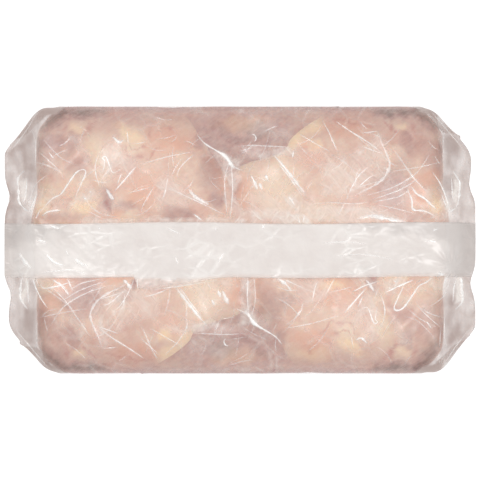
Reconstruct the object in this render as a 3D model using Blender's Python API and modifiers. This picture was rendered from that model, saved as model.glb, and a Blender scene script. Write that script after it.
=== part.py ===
"""Sealed clear-film pack of raw boneless, skinless chicken breasts, lying with its seamed back upward.

The film is one tube, wrapped tight round four breasts, pressed flat and sealed at both ends, and joined
along its back by a broad seam that is laid down flat. Metres, +Z up, the origin on the table under the
middle of the pack, +X along the pack and its seam. The two ends are one shape, turned half round.
"""

import math
from collections import namedtuple

import bmesh
import bpy
from mathutils import Matrix, Vector

# Driving dimensions
PACK_LENGTH = 0.3004
PACK_WIDTH = 0.1704
CROWN_HEIGHT = 0.0405
RIM_HEIGHT = 0.0175
FLAP_LENGTH = 0.0201
SEAM_WIDTH = 0.0345
SEAM_OFFSET = -0.0064
SEAM_THICKNESS = 0.0008
SEAM_GAP = 0.0004

# Worked out from them
HALF_LENGTH = PACK_LENGTH / 2
HALF_WIDTH = PACK_WIDTH / 2
CREASE = HALF_LENGTH - FLAP_LENGTH
SHOULDER_START = CREASE - 0.015
SHOULDER_END = CREASE + 0.005
CROWN_RISE = CROWN_HEIGHT - RIM_HEIGHT

# How finely the film is divided: rings along the pack, and strips in front of the seam, under it and behind
RINGS = 64
FRONT_STRIPS = 14
SEAM_STRIPS = 8
BACK_STRIPS = 16
STRIPS = FRONT_STRIPS + SEAM_STRIPS + BACK_STRIPS
STRIP_EVENNESS = 0.15
WELD_DISTANCE = 1e-6
SHARP_ANGLE = math.radians(35.0)

# The slanted sides of an end flap: a point that each passes through, its slope, and the rounding of its end
Corner = namedtuple("Corner", "along across slope blend rounding round_from shortfall")
LONG_CORNER = Corner(0.1425, 0.0698, 1.20, 0.008, 0.0065, 0.0535, 0.0)
STEEP_CORNER = Corner(0.1356, 0.0774, 0.76, 0.008, 0.014, 0.050, 0.0026)
SHORTFALL_FROM = 0.022
SHORTFALL_TO = 0.036

# Scallops that the seam's pull leaves in the edge of a flap
Scallop = namedtuple("Scallop", "across depth width")
SCALLOPS = (Scallop(0.0275, 0.0032, 0.0080), Scallop(-0.0350, 0.0014, 0.0070))

# Swellings and hollows of the film over the meat, placed on the left end of the pack
Swelling = namedtuple("Swelling", "along across half_length half_width rise")
SWELLINGS = (
    Swelling(0.074, 0.050, 0.052, 0.032, 0.0046),
    Swelling(0.066, -0.048, 0.058, 0.030, 0.0042),
    Swelling(0.112, 0.044, 0.018, 0.026, 0.0020),
    Swelling(0.110, -0.050, 0.020, 0.022, 0.0018),
    Swelling(0.034, 0.030, 0.018, 0.014, 0.0018),
    Swelling(0.092, 0.068, 0.010, 0.014, -0.0020),
    Swelling(0.000, 0.068, 0.027, 0.026, -0.0085),
)
SWELLING_STEEPNESS = 1.4

# Folds of the film, each from one point to another as (along, across), on the left end
Fold = namedtuple("Fold", "start end rise")
FOLDS = (
    Fold((0.0290, 0.0680), (-0.0030, 0.0400), 0.0014),
    Fold((-0.0060, 0.0590), (-0.0290, 0.0600), 0.0011),
    Fold((-0.0230, 0.0530), (-0.0420, 0.0270), 0.0012),
    Fold((0.1060, 0.0650), (0.0780, 0.0200), 0.0012),
    Fold((0.1240, 0.0300), (0.0960, 0.0620), 0.0011),
    Fold((0.0560, 0.0420), (0.0240, 0.0560), 0.0011),
    Fold((0.1180, -0.0300), (0.0880, -0.0660), 0.0012),
    Fold((0.0880, -0.0340), (0.0780, -0.0560), 0.0011),
    Fold((0.0420, -0.0420), (0.0180, -0.0620), 0.0011),
)
FOLD_HALF_WIDTH = 0.0042

# Pleats that fan out from where the seam leaves the meat
Gather = namedtuple("Gather", "along across pleats reach height")
GATHERS = (Gather(0.1345, 0.0170, 9, 0.020, 0.0010), Gather(0.1380, -0.0300, 8, 0.017, 0.0009))
GATHER_CORE = 0.005

# The back's rounding along and across, and how it comes down over a flap
BACK_REACH = 0.93
BACK_POWER_ALONG = 3.2
BACK_POWER_ACROSS = 2.8
FLAP_POWER_GAIN = 2.4
FLAP_HOLLOW = 1.6
RELIEF_SIDE_POWER = 8

# The underside is flat out to its heel and curls up beyond it. It sinks below the table and is cut there.
HEEL = 0.104
HEEL_POWER = 2.2
UNDER_SINK = 0.0009
UNDER_POWER = 4.0
GUSSET_DEPTH = 0.008

# The free edge of the seam stands away from its line for a stretch on the front of the left half
LIFT_START = -0.0675
LIFT_FULL = -0.0635
LIFT_TURN = -0.0500
LIFT_END = -0.0040
LIFT_WIDTH = 0.0073
EDGE_WANDER = 0.0006
EDGE_WAVES = 40.0

FILM_COLOUR = (0.80, 0.62, 0.55, 1.0)
FILM_ROUGHNESS = 0.25
SEAM_COLOUR = (0.86, 0.82, 0.79, 1.0)
SEAM_ROUGHNESS = 0.4


def smoothstep(low, high, value):
    share = min(1.0, max(0.0, (value - low) / (high - low)))
    return share * share * (3.0 - 2.0 * share)


def smooth_min(first, second, blend):
    share = min(1.0, max(0.0, 0.5 + 0.5 * (second - first) / blend))
    return second + (first - second) * share - blend * share * (1.0 - share)


def superellipse(share, power):
    """Height of a unit superellipse at a share of its half width."""
    return (1.0 - min(1.0, abs(share)) ** power) ** (1.0 / power)


def corner_on(across):
    return LONG_CORNER if across > 0.0 else STEEP_CORNER


def half_width(along, across):
    """Half the pack's width at a distance from its middle, on the side that the sign of across says."""
    corner = corner_on(across)
    slanted = corner.across - corner.slope * (along - corner.along)
    return smooth_min(HALF_WIDTH, slanted, corner.blend)


def end_shortfall(across):
    """How far a flap's edge stays short of the pack's full length."""
    corner = corner_on(across)
    beyond = min(corner.rounding, max(0.0, abs(across) - corner.round_from))
    short = beyond * beyond / (2.0 * corner.rounding)
    short += corner.shortfall * smoothstep(SHORTFALL_FROM, SHORTFALL_TO, abs(across))
    for scallop in SCALLOPS:
        short += scallop.depth * math.exp(-(((across - scallop.across) / scallop.width) ** 2))
    return short


def seam_edges(x):
    """Where the seam's front and back edges lie across the pack."""
    lift = LIFT_WIDTH * smoothstep(LIFT_START, LIFT_FULL, x) * (1.0 - smoothstep(LIFT_TURN, LIFT_END, x))
    wander = EDGE_WANDER * math.sin(x * EDGE_WAVES)
    front = SEAM_OFFSET - SEAM_WIDTH / 2.0 - lift - wander
    return front, front + SEAM_WIDTH + lift


def strip_place(step, x, front_side, back_side):
    """Where a line between strips lies across the pack. The strips narrow towards the two sides."""
    front, back = seam_edges(x)
    if step <= FRONT_STRIPS:
        share = step / FRONT_STRIPS
        return front_side + (front - front_side) * side_ease(share)
    if step >= STRIPS - BACK_STRIPS:
        share = (STRIPS - step) / BACK_STRIPS
        return back_side + (back - back_side) * side_ease(share)
    return front + (back - front) * (step - FRONT_STRIPS) / SEAM_STRIPS


def side_ease(share):
    """Share of the way in from a side, small steps first."""
    narrowing = 1.0 - math.cos(share * math.pi / 2.0)
    return STRIP_EVENNESS * share + (1.0 - STRIP_EVENNESS) * narrowing


def bell(swelling, x, y, end):
    """How much of a swelling is felt at a point, for its copy on one end of the pack."""
    along = (x - end * swelling.along) / swelling.half_length
    across = (y + end * swelling.across) / swelling.half_width
    return math.exp(-((along * along + across * across) ** SWELLING_STEEPNESS))


def fold_height(fold, x, y, end):
    """Height of a fold's ridge at a point, for its copy on one end of the pack."""
    start = Vector((end * fold.start[0], -end * fold.start[1]))
    reach = Vector((end * fold.end[0], -end * fold.end[1])) - start
    offset = Vector((x, y)) - start
    share = min(1.0, max(0.0, offset.dot(reach) / reach.length_squared))
    away = (offset - share * reach).length / FOLD_HALF_WIDTH
    return fold.rise * math.exp(-away * away)


def gather_height(gather, x, y, end):
    """Height of the pleats that fan out from one end of the seam."""
    along = x - end * gather.along
    across = y + end * gather.across
    distance = math.hypot(along, across)
    fan = math.cos(gather.pleats * math.atan2(across, along))
    near = 1.0 - math.exp(-((distance / GATHER_CORE) ** 2))
    return gather.height * fan * near * math.exp(-((distance / gather.reach) ** 2))


def relief(x, y):
    """What the meat and the film's folds add to the smooth crown of the back."""
    height = 0.0
    for end in (-1.0, 1.0):
        height += sum(swelling.rise * bell(swelling, x, y, end) for swelling in SWELLINGS)
        height += sum(fold_height(fold, x, y, end) for fold in FOLDS)
        height += sum(gather_height(gather, x, y, end) for gather in GATHERS)
    return height


def crown_profile(along):
    """Height of the back over the rim, along the middle of the pack: a shoulder, a crease and a flap."""
    shoulder = superellipse(min(along, CREASE) / (HALF_LENGTH * BACK_REACH), BACK_POWER_ALONG)
    left = min(1.0, max(0.0, (HALF_LENGTH - along) / FLAP_LENGTH))
    return CROWN_RISE * shoulder * left**FLAP_HOLLOW


def back_height(x, y, v, along):
    """Height of the film on the pack's back."""
    on_flap = smoothstep(SHOULDER_START, SHOULDER_END, along)
    across = superellipse(v, BACK_POWER_ACROSS + FLAP_POWER_GAIN * on_flap)
    fade = (1.0 - v**RELIEF_SIDE_POWER) * (1.0 - smoothstep(SHOULDER_END, HALF_LENGTH, along))
    return RIM_HEIGHT + crown_profile(along) * across + relief(x, y) * fade


def under_height(v, along):
    """Height of the film under the pack, flat on the table inside its heel."""
    depth = RIM_HEIGHT + UNDER_SINK
    rise = depth * max(0.0, (along - HEEL) / (HALF_LENGTH - HEEL)) ** HEEL_POWER
    return max(0.0, RIM_HEIGHT - (depth - rise) * superellipse(v, UNDER_POWER))


def gusset_depth(along):
    """How far the sides tuck in between the two panels of a flap."""
    opening = smoothstep(SHOULDER_START, CREASE, along)
    return GUSSET_DEPTH * opening * (1.0 - smoothstep(SHOULDER_END, HALF_LENGTH, along))


def film_point(u, step, is_back):
    """A point of the film: u runs from -1 to 1 along the pack, and step counts the lines between strips."""
    end = -1.0 if u < 0.0 else 1.0
    along = min(1.0, abs(u)) * HALF_LENGTH
    is_end = along > HALF_LENGTH - WELD_DISTANCE
    if is_end:
        step = min(STRIPS - 1, max(1, step))
    front_side = -half_width(along, end)
    back_side = half_width(along, -end)
    y = strip_place(step, end * along, front_side, back_side)
    v = y / (back_side if y > 0.0 else -front_side)
    pulled = end_shortfall(-end * y) * smoothstep(CREASE - FLAP_LENGTH, HALF_LENGTH, along)
    x = end * (along - pulled)
    height = back_height(x, y, v, along) if is_back else under_height(v, along)
    if is_end or step in (0, STRIPS):
        height = RIM_HEIGHT
    if step in (0, STRIPS):
        y -= math.copysign(gusset_depth(along), y)
    return Vector((x, y, height))


def principled(name, colour, roughness):
    material = bpy.data.materials.new(name)
    material.use_nodes = True
    shader = material.node_tree.nodes["Principled BSDF"]
    shader.inputs["Base Color"].default_value = colour
    shader.inputs["Roughness"].default_value = roughness
    shader.inputs["Metallic"].default_value = 0.0
    return material


def add_part(name, form, material, collection):
    """Turns an edited mesh into an object of the collection."""
    bmesh.ops.recalc_face_normals(form, faces=form.faces)
    mesh = bpy.data.meshes.new(name)
    form.to_mesh(mesh)
    form.free()
    mesh.shade_smooth()
    mesh.set_sharp_from_angle(angle=SHARP_ANGLE)
    mesh.materials.append(material)
    part = bpy.data.objects.new(name, mesh)
    collection.objects.link(part)
    return part


def cut_in_rings(tube):
    """Cuts a tube of length 2 along X into equal rings."""
    for ring in range(1, RINGS):
        place = Vector((2.0 * ring / RINGS - 1.0, 0.0, 0.0))
        whole = tube.verts[:] + tube.edges[:] + tube.faces[:]
        bmesh.ops.bisect_plane(tube, geom=whole, plane_co=place, plane_no=(1.0, 0.0, 0.0), dist=WELD_DISTANCE)


def make_film_pack(collection):
    """A round tube is cut into rings, wrapped to the pack's form and welded flat at both ends."""
    tube = bmesh.new()
    bmesh.ops.create_cone(tube, segments=2 * STRIPS, radius1=1.0, radius2=1.0, depth=2.0)
    bmesh.ops.rotate(tube, verts=tube.verts, matrix=Matrix.Rotation(math.pi / 2.0, 3, "Y"))
    cut_in_rings(tube)
    for vertex in tube.verts:
        step = round(math.atan2(vertex.co.z, -vertex.co.y) * STRIPS / math.pi)
        vertex.co = film_point(vertex.co.x, abs(step), step > 0)
    bmesh.ops.remove_doubles(tube, verts=tube.verts, dist=WELD_DISTANCE)
    bmesh.ops.triangulate(tube, faces=tube.faces, quad_method="SHORT_EDGE")
    material = principled("clear film over meat", FILM_COLOUR, FILM_ROUGHNESS)
    return add_part("film_pack", tube, material, collection)


def make_back_seam(collection):
    """A flat grid is laid on the strips of the film that it covers and thickened upward."""
    sheet = bmesh.new()
    bmesh.ops.create_grid(sheet, x_segments=RINGS, y_segments=SEAM_STRIPS, size=1.0)
    for vertex in sheet.verts:
        step = FRONT_STRIPS + round((vertex.co.y + 1.0) * SEAM_STRIPS / 2.0)
        vertex.co = film_point(vertex.co.x, step, True)
    bmesh.ops.triangulate(sheet, faces=sheet.faces, quad_method="SHORT_EDGE")
    sheet.normal_update()
    for vertex in sheet.verts:
        vertex.co += vertex.normal * SEAM_GAP
    material = principled("milky seam film", SEAM_COLOUR, SEAM_ROUGHNESS)
    seam = add_part("back_seam", sheet, material, collection)
    solidify = seam.modifiers.new("seam thickness", "SOLIDIFY")
    solidify.thickness = SEAM_THICKNESS
    solidify.offset = 1.0
    return seam


def main():
    for obj in list(bpy.data.objects):
        bpy.data.objects.remove(obj, do_unlink=True)
    collection = bpy.data.collections.new("chicken_breast_pack")
    bpy.context.scene.collection.children.link(collection)
    make_film_pack(collection)
    make_back_seam(collection)


main()
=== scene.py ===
"""Sealed clear-film pack of raw, boneless, skinless chicken breasts, lying with its milky back seam upward.

Laid out as a Blender add-on and run as a script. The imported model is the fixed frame, and the breasts, the
film, its creases and its seam are built round it. Lengths are in metres, apart from places and widths that
are said to be in millimetres. Those are measured from the pack's middle, +X along the seam and +Y across it.
The half of the back toward +Y is drawn once and used again, turned half round, for the half toward -Y. The
seam, the fine creases, the shades of the ends and a few patches of colour are not repeated in that way.
"""

import math
import random
from collections import namedtuple

import bmesh
import bpy
import numpy as np
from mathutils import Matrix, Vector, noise


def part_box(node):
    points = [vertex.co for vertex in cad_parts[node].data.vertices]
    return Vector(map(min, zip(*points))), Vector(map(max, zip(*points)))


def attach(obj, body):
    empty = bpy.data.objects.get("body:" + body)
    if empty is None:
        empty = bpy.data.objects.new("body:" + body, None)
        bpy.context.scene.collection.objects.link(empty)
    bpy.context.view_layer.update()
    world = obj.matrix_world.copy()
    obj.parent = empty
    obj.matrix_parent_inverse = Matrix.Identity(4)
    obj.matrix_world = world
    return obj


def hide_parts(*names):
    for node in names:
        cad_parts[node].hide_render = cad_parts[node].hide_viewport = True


bl_info = {
    "name": "Film Pack of Chicken Breasts",
    "version": (1, 0, 0),
    "blender": (4, 5, 0),
    "location": "View3D > Sidebar > Chicken Pack",
    "description": "Builds raw chicken breasts in a sealed clear film pack round the packed frame",
    "category": "Add Mesh",
}

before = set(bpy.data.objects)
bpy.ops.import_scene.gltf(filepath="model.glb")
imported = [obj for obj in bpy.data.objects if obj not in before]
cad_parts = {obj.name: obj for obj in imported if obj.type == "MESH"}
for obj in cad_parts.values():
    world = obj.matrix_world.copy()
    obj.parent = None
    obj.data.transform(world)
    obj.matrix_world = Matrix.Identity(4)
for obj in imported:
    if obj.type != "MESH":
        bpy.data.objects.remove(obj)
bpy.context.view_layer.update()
PACK_LOW, PACK_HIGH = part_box("film_pack")
MM = 0.001

# The pack's form, as its solid has it
HALF_LENGTH = (PACK_HIGH[0] - PACK_LOW[0]) / 2
HALF_WIDTH = (PACK_HIGH[1] - PACK_LOW[1]) / 2
CROWN_HEIGHT = 0.0405
RIM_HEIGHT = 0.0175
FLAP_LENGTH = 0.0201
CREASE = HALF_LENGTH - FLAP_LENGTH
SHOULDER_START = CREASE - 0.015
SHOULDER_END = CREASE + 0.005
CROWN_RISE = CROWN_HEIGHT - RIM_HEIGHT
SEAM_WIDTH = 0.0345
SEAM_OFFSET = -0.0064
LIFT_START = -0.0675
LIFT_FULL = -0.0635
LIFT_TURN = -0.0500
LIFT_END = -0.0040
LIFT_WIDTH = 0.0073
EDGE_WANDER = 0.0006
EDGE_WAVES = 40.0

Corner = namedtuple("Corner", "along across slope blend rounding round_from shortfall")
LONG_CORNER = Corner(0.1425, 0.0698, 1.20, 0.008, 0.0065, 0.0535, 0.0)
STEEP_CORNER = Corner(0.1356, 0.0774, 0.76, 0.008, 0.014, 0.050, 0.0026)
SHORTFALL_FROM = 0.022
SHORTFALL_TO = 0.036

Scallop = namedtuple("Scallop", "across depth width")
SCALLOPS = (Scallop(0.0275, 0.0032, 0.0080), Scallop(-0.0350, 0.0014, 0.0070))

Swelling = namedtuple("Swelling", "along across half_length half_width rise")
SWELLINGS = (
    Swelling(0.074, 0.050, 0.052, 0.032, 0.0046),
    Swelling(0.066, -0.048, 0.058, 0.030, 0.0042),
    Swelling(0.112, 0.044, 0.018, 0.026, 0.0020),
    Swelling(0.110, -0.050, 0.020, 0.022, 0.0018),
    Swelling(0.034, 0.030, 0.018, 0.014, 0.0018),
    Swelling(0.092, 0.068, 0.010, 0.014, -0.0020),
    Swelling(0.000, 0.068, 0.027, 0.026, -0.0085),
)
SWELLING_STEEPNESS = 1.4

Fold = namedtuple("Fold", "start end rise")
FOLDS = (
    Fold((0.0290, 0.0680), (-0.0030, 0.0400), 0.0014),
    Fold((-0.0060, 0.0590), (-0.0290, 0.0600), 0.0011),
    Fold((-0.0230, 0.0530), (-0.0420, 0.0270), 0.0012),
    Fold((0.1060, 0.0650), (0.0780, 0.0200), 0.0012),
    Fold((0.1240, 0.0300), (0.0960, 0.0620), 0.0011),
    Fold((0.0560, 0.0420), (0.0240, 0.0560), 0.0011),
    Fold((0.1180, -0.0300), (0.0880, -0.0660), 0.0012),
    Fold((0.0880, -0.0340), (0.0780, -0.0560), 0.0011),
    Fold((0.0420, -0.0420), (0.0180, -0.0620), 0.0011),
)
FOLD_HALF_WIDTH = 0.0042

Gather = namedtuple("Gather", "along across pleats reach height")
GATHERS = (Gather(0.1345, 0.0170, 9, 0.020, 0.0010), Gather(0.1380, -0.0300, 8, 0.017, 0.0009))
GATHER_CORE = 0.005

BACK_REACH = 0.93
BACK_POWER_ALONG = 3.2
BACK_POWER_ACROSS = 2.8
FLAP_POWER_GAIN = 2.4
FLAP_HOLLOW = 1.6
RELIEF_SIDE_POWER = 8
HEEL = 0.104
HEEL_POWER = 2.2
UNDER_SINK = 0.0009
UNDER_POWER = 4.0
GUSSET_DEPTH = 0.008

# How finely the film is divided. A lane is one strip of the solid, counted from the front side to the back.
FRONT_LANES = 14
SEAM_LANES = 8
BACK_LANES = 16
LANES = FRONT_LANES + SEAM_LANES + BACK_LANES
LANE_EVENNESS = 0.15
FILM_RINGS = 300
FILM_STRIPS = 4 * LANES
UNDER_STRIPS = LANES
WELD_DISTANCE = 1e-6
SEAM_DIVISIONS = (420, 52)

# The most that film mirrors, which keeps steeply seen film clear
MOST_MIRRORED = 0.22

# How the film is tinted: grey past the meat's ends and past its corners, where the places along and across
# are added up, set back beside the seam, and evenly veiled under the pack. The grey is the doubled film's
# own dullness together with painted shade and painted reflection
GREY_START = 0.1252
GREY_FULL = 0.1300
GREY_SET_BACK = 0.004
SET_BACK_FULL = 0.020
SET_BACK_END = 0.036
CORNER_GREY_START = 0.1938
CORNER_GREY_FULL = 0.1988
GREY = 0.46
UNDER_MILK = 0.10
UNDER_GREY = 0.17

# The seam's ripple and its solidity, and what its ends, its edges and its lifted stretch lose of that
SEAM_RIPPLE = 0.00025
SEAM_SOLIDITY = 0.93
END_LOSS = 0.25
EDGE_LOSS = 0.55
LIFTED_LOSS = 0.6

# How the meat is formed: its divisions round and upward, the height of its widest level, how steeply it
# swells from there, and how far the meat of the middle lies under the film
MEAT_DIVISIONS = (220, 96)
MEAT_RIM = 0.0165
MEAT_SWELL = 7.0
MIDDLE_DEPTH = 0.003

# How its colours lie: the rise over which the deepest painted shade comes in, how deep two of them are, and
# the grain's turn
DARK_FADE = 0.009
MAUVE_DEPTH = 0.0009
BLOOD_DEPTH = 0.0005
GRAIN_TURN = 35.0

# How a crease is formed, in millimetres, and its cross section: how far out, how high and how white
CREASE_STEP = 0.8
CREASE_LIFT = 0.08
CREASE_HEIGHT = 0.3
CREASE_SPREAD = 1.35
CREASE_LEAST = 0.25
CREASE_WHITENESS = 1.4
CREASE_PROFILE = ((-1.0, 0.0, 0.0), (-0.5, 0.8, 0.8), (0.0, 1.0, 1.0), (0.5, 0.8, 0.8), (1.0, 0.0, 0.0))

# Fine creases scattered by a seeded draw, in millimetres: how many, how far along and across, their bearings
# and the spread of those in degrees, and their lengths, bend, widths and whiteness
FINE_CREASES = 130
FINE_CREASE_SEED = 11
FINE_REACH = 128
FINE_INNER = 12
FINE_OUTER = 80
FINE_BEARINGS = (-62, -48, -25, 20, 42, 55, 80)
FINE_SPREAD = 9
FINE_LENGTHS = (5, 26)
FINE_BEND = 0.12
FINE_WIDTHS = (0.22, 0.5)
FINE_WHITES = (0.12, 0.4)

# Creases of the film, in its left and right half: width in millimetres, whiteness, and places along each.
# Their white is partly the folded film's own and partly a painted glint along the fold.
Crease = namedtuple("Crease", "width white points")
LEFT_CREASES = (
    Crease(0.5, 0.3, ((-132.8, 70.3), (-130.7, 66.3), (-129.4, 59.2), (-129.8, 44.4))),
    Crease(1.7, 1.0, ((-136.7, 44.4), (-141.2, 39.4), (-141.2, 31.4), (-140.2, 23.5), (-134.2, 17.6))),
    Crease(0.6, 0.8, ((-135.3, 39.4), (-136.2, 29.4), (-138.3, 23.5))),
    Crease(0.7, 0.9, ((-134.2, 17.4), (-130.7, 24.4), (-128.7, 29.4))),
    Crease(0.4, 0.4, ((-134.7, 19.7), (-132.1, 29.2), (-128.3, 36.3), (-119.4, 42.4))),
    Crease(0.8, 1.0, ((-128.3, 15.4), (-123.3, 21.6), (-118.3, 26.4), (-113.3, 28.9), (-109.3, 34.3),
                      (-103.4, 42.4), (-98.9, 44.4), (-97.3, 42.4), (-100.3, 35.4), (-103.4, 28.4),
                      (-104.3, 22.4))),
    Crease(0.8, 0.8, ((-125.7, 14.9), (-121.3, 17.9), (-112.3, 19.0))),
    Crease(0.5, 0.5, ((-129.6, 13.3), (-126.4, 19.7))),
    Crease(0.8, 0.5, ((-121.3, 55.9), (-117.8, 51.3))),
    Crease(0.4, 0.35, ((-129.3, 49.3), (-120.3, 46.5), (-111.3, 41.4))),
    Crease(0.4, 0.35, ((-127.7, 56.0), (-114.9, 44.6), (-111.1, 38.2))),
    Crease(0.4, 0.3, ((-124.5, 63.7), (-113.6, 52.2), (-102.1, 47.1))),
    Crease(0.6, 0.6, ((-89.4, 54.3), (-91.3, 46.5), (-90.4, 39.4), (-88.3, 33.4))),
    Crease(0.6, 0.8, ((-86.8, 41.4), (-85.3, 49.3), (-86.8, 51.8), (-84.4, 52.3), (-81.4, 44.4),
                      (-79.4, 42.4), (-74.4, 45.3))),
    Crease(0.8, 0.9, ((-79.4, 30.5), (-72.4, 38.4), (-65.4, 46.5))),
    Crease(0.5, 0.6, ((-77.4, 35.4), (-74.4, 42.4))),
    Crease(0.5, 0.4, ((-63.4, 47.4), (-48.5, 51.8), (-37.5, 54.3), (-28.5, 55.9))),
    Crease(0.5, 0.5, ((-39.6, 39.4), (-38.5, 44.4), (-33.5, 50.3), (-28.5, 54.3))),
    Crease(1.5, 0.9, ((-80.4, 65.3), (-76.4, 61.8), (-73.4, 63.3))),
    Crease(0.5, 0.5, ((-71.5, 69.4), (-70.4, 60.5))),
    Crease(1.0, 0.8, ((-27.5, 67.3), (-22.5, 61.3), (-14.6, 56.3), (-8.6, 52.3), (-3.6, 46.3), (3.2, 43.3))),
    Crease(2.0, 1.0, ((-14.6, 56.7), (-8.6, 52.2), (-5.7, 47.7), (-3.2, 44.6))),
    Crease(1.8, 1.0, ((-32.6, 32.4), (-28.5, 27.4), (-23.6, 24.4), (-19.5, 22.4))),
    Crease(0.5, 0.4, ((-4.6, 56.3), (-6.6, 49.3), (-9.1, 41.4), (-9.6, 33.4), (-8.6, 19.4), (-9.6, 13.4))),
    Crease(0.6, 0.55, ((-5.6, 49.3), (-4.6, 33.4), (-5.6, 19.4), (-6.6, 13.4))),
    Crease(0.6, 0.5, ((-46.5, 33.4), (-33.5, 27.4), (-18.6, 20.4), (-8.6, 15.4))),
    Crease(0.5, 0.5, ((-53.4, 35.4), (-57.4, 28.4), (-61.4, 21.4), (-62.4, 17.4))),
    Crease(0.5, 0.6, ((-45.4, 39.4), (-47.5, 29.4), (-49.5, 25.4))),
    Crease(0.4, 0.4, ((-71.5, 29.4), (-63.4, 31.4), (-55.5, 33.4))),
    Crease(1.4, 0.9, ((-84.4, 32.4), (-81.4, 27.4), (-79.4, 25.4))),
    Crease(0.9, 0.8, ((-29.5, 16.5), (-26.8, 14.6), (-24.5, 12.4))),
    Crease(1.4, 0.8, ((-95.1, 31.1), (-93.8, 29.6))),
    Crease(1.4, 0.8, ((-98.9, 26.7), (-97.0, 25.7))),
    Crease(0.5, 0.35, ((-129.4, 80.3), (-136.0, 69.7), (-146.8, 56.6))),
)
RIGHT_CREASES = (
    Crease(0.5, 0.3, ((130.5, 69.3), (128.9, 63.3), (128.7, 49.3), (128.9, 42.4))),
    Crease(1.6, 1.0, ((134.9, 44.4), (138.4, 39.4), (139.9, 35.4), (139.0, 25.4), (137.4, 20.4))),
    Crease(0.6, 0.8, ((134.4, 40.3), (134.9, 29.4), (135.4, 24.4))),
    Crease(0.8, 0.9, ((132.4, 17.4), (137.4, 20.4))),
    Crease(0.6, 0.7, ((121.5, 43.3), (126.4, 36.4), (130.5, 27.4), (133.4, 18.4))),
    Crease(0.5, 0.7, ((127.5, 29.4), (131.5, 19.4))),
    Crease(1.3, 1.0, ((108.0, 34.3), (111.5, 29.4), (116.5, 26.4), (121.5, 21.9), (124.5, 19.4))),
    Crease(1.1, 0.9, ((105.5, 32.4), (108.5, 25.4), (109.5, 19.4), (116.5, 18.4), (123.4, 15.4))),
    Crease(2.4, 1.0, ((74.6, 13.4), (82.6, 15.1), (91.5, 13.8), (97.5, 12.6), (105.5, 11.6))),
    Crease(0.8, 0.4, ((96.6, 58.3), (102.5, 49.3), (110.4, 38.4), (119.5, 29.4))),
    Crease(0.5, 0.35, ((95.6, 43.3), (111.5, 45.8), (127.5, 49.3))),
    Crease(0.5, 0.5, ((79.6, 28.0), (96.6, 33.4), (111.5, 42.4), (120.5, 55.4))),
    Crease(0.5, 0.45, ((83.0, 25.4), (100.9, 31.8), (113.6, 39.4))),
    Crease(0.5, 0.45, ((84.3, 24.1), (99.6, 27.3), (107.2, 31.8))),
    Crease(0.4, 0.4, ((87.4, 22.2), (102.1, 19.0), (111.1, 16.5))),
    Crease(1.2, 0.5, ((87.1, 68.3), (89.6, 61.3), (92.6, 54.3), (94.5, 47.4), (91.5, 40.3), (84.6, 34.3),
                      (76.6, 30.4), (70.6, 27.4))),
    Crease(0.7, 0.55, ((60.6, 75.3), (70.6, 68.3), (81.6, 61.3), (90.6, 54.3))),
    Crease(0.5, 0.4, ((77.6, 67.8), (87.1, 68.8))),
    Crease(0.5, 0.6, ((76.6, 59.3), (83.6, 56.7), (90.6, 54.3))),
    Crease(0.5, 0.5, ((51.7, 76.3), (55.7, 69.3), (59.6, 60.3), (62.1, 54.3))),
    Crease(0.5, 0.4, ((37.7, 66.9), (48.7, 60.3), (57.6, 55.4))),
    Crease(1.4, 0.75, ((20.7, 54.3), (27.7, 46.3), (34.7, 37.3), (41.7, 28.4))),
    Crease(0.6, 0.6, ((23.6, 49.0), (31.3, 39.4), (39.6, 27.3))),
    Crease(0.9, 0.8, ((33.7, 56.3), (33.2, 51.8))),
    Crease(0.5, 0.4, ((34.7, 49.3), (33.7, 41.4), (36.7, 33.4), (42.8, 25.4))),
    Crease(0.5, 0.6, ((66.6, 24.4), (70.6, 33.4), (75.6, 41.4), (81.6, 46.3))),
    Crease(0.5, 0.6, ((72.6, 33.4), (73.6, 41.4), (76.6, 45.3))),
    Crease(0.5, 0.6, ((73.6, 32.4), (81.6, 39.4), (86.6, 41.4))),
    Crease(0.4, 0.5, ((70.2, 31.1), (77.9, 34.3), (89.4, 37.5))),
    Crease(0.6, 0.35, ((45.7, 22.9), (58.7, 23.5), (72.6, 22.9), (82.6, 24.4))),
    Crease(0.7, 0.35, ((-3.2, 59.3), (8.8, 59.9), (19.8, 59.3), (30.6, 58.8))),
    Crease(1.8, 0.9, ((7.0, 40.7), (9.3, 36.3), (10.9, 31.8))),
    Crease(1.6, 0.9, ((12.1, 36.3), (14.0, 31.5))),
    Crease(1.2, 0.8, ((16.0, 41.4), (17.9, 37.5))),
    Crease(1.8, 0.5, ((30.6, 27.3), (32.6, 24.8), (34.5, 21.6))),
    Crease(0.6, 0.6, ((36.7, 15.4), (37.7, 10.1))),
    Crease(0.6, 0.6, ((40.7, 16.5), (39.6, 10.5))),
    Crease(0.6, 0.7, ((7.0, 67.2), (9.3, 66.6), (10.2, 64.0), (8.6, 62.4))),
    Crease(0.4, 0.35, ((61.7, 15.4), (66.6, 24.4))),
    Crease(0.5, 0.35, ((121.0, 82.0), (139.4, 61.6), (143.8, 55.0))),
)
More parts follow.
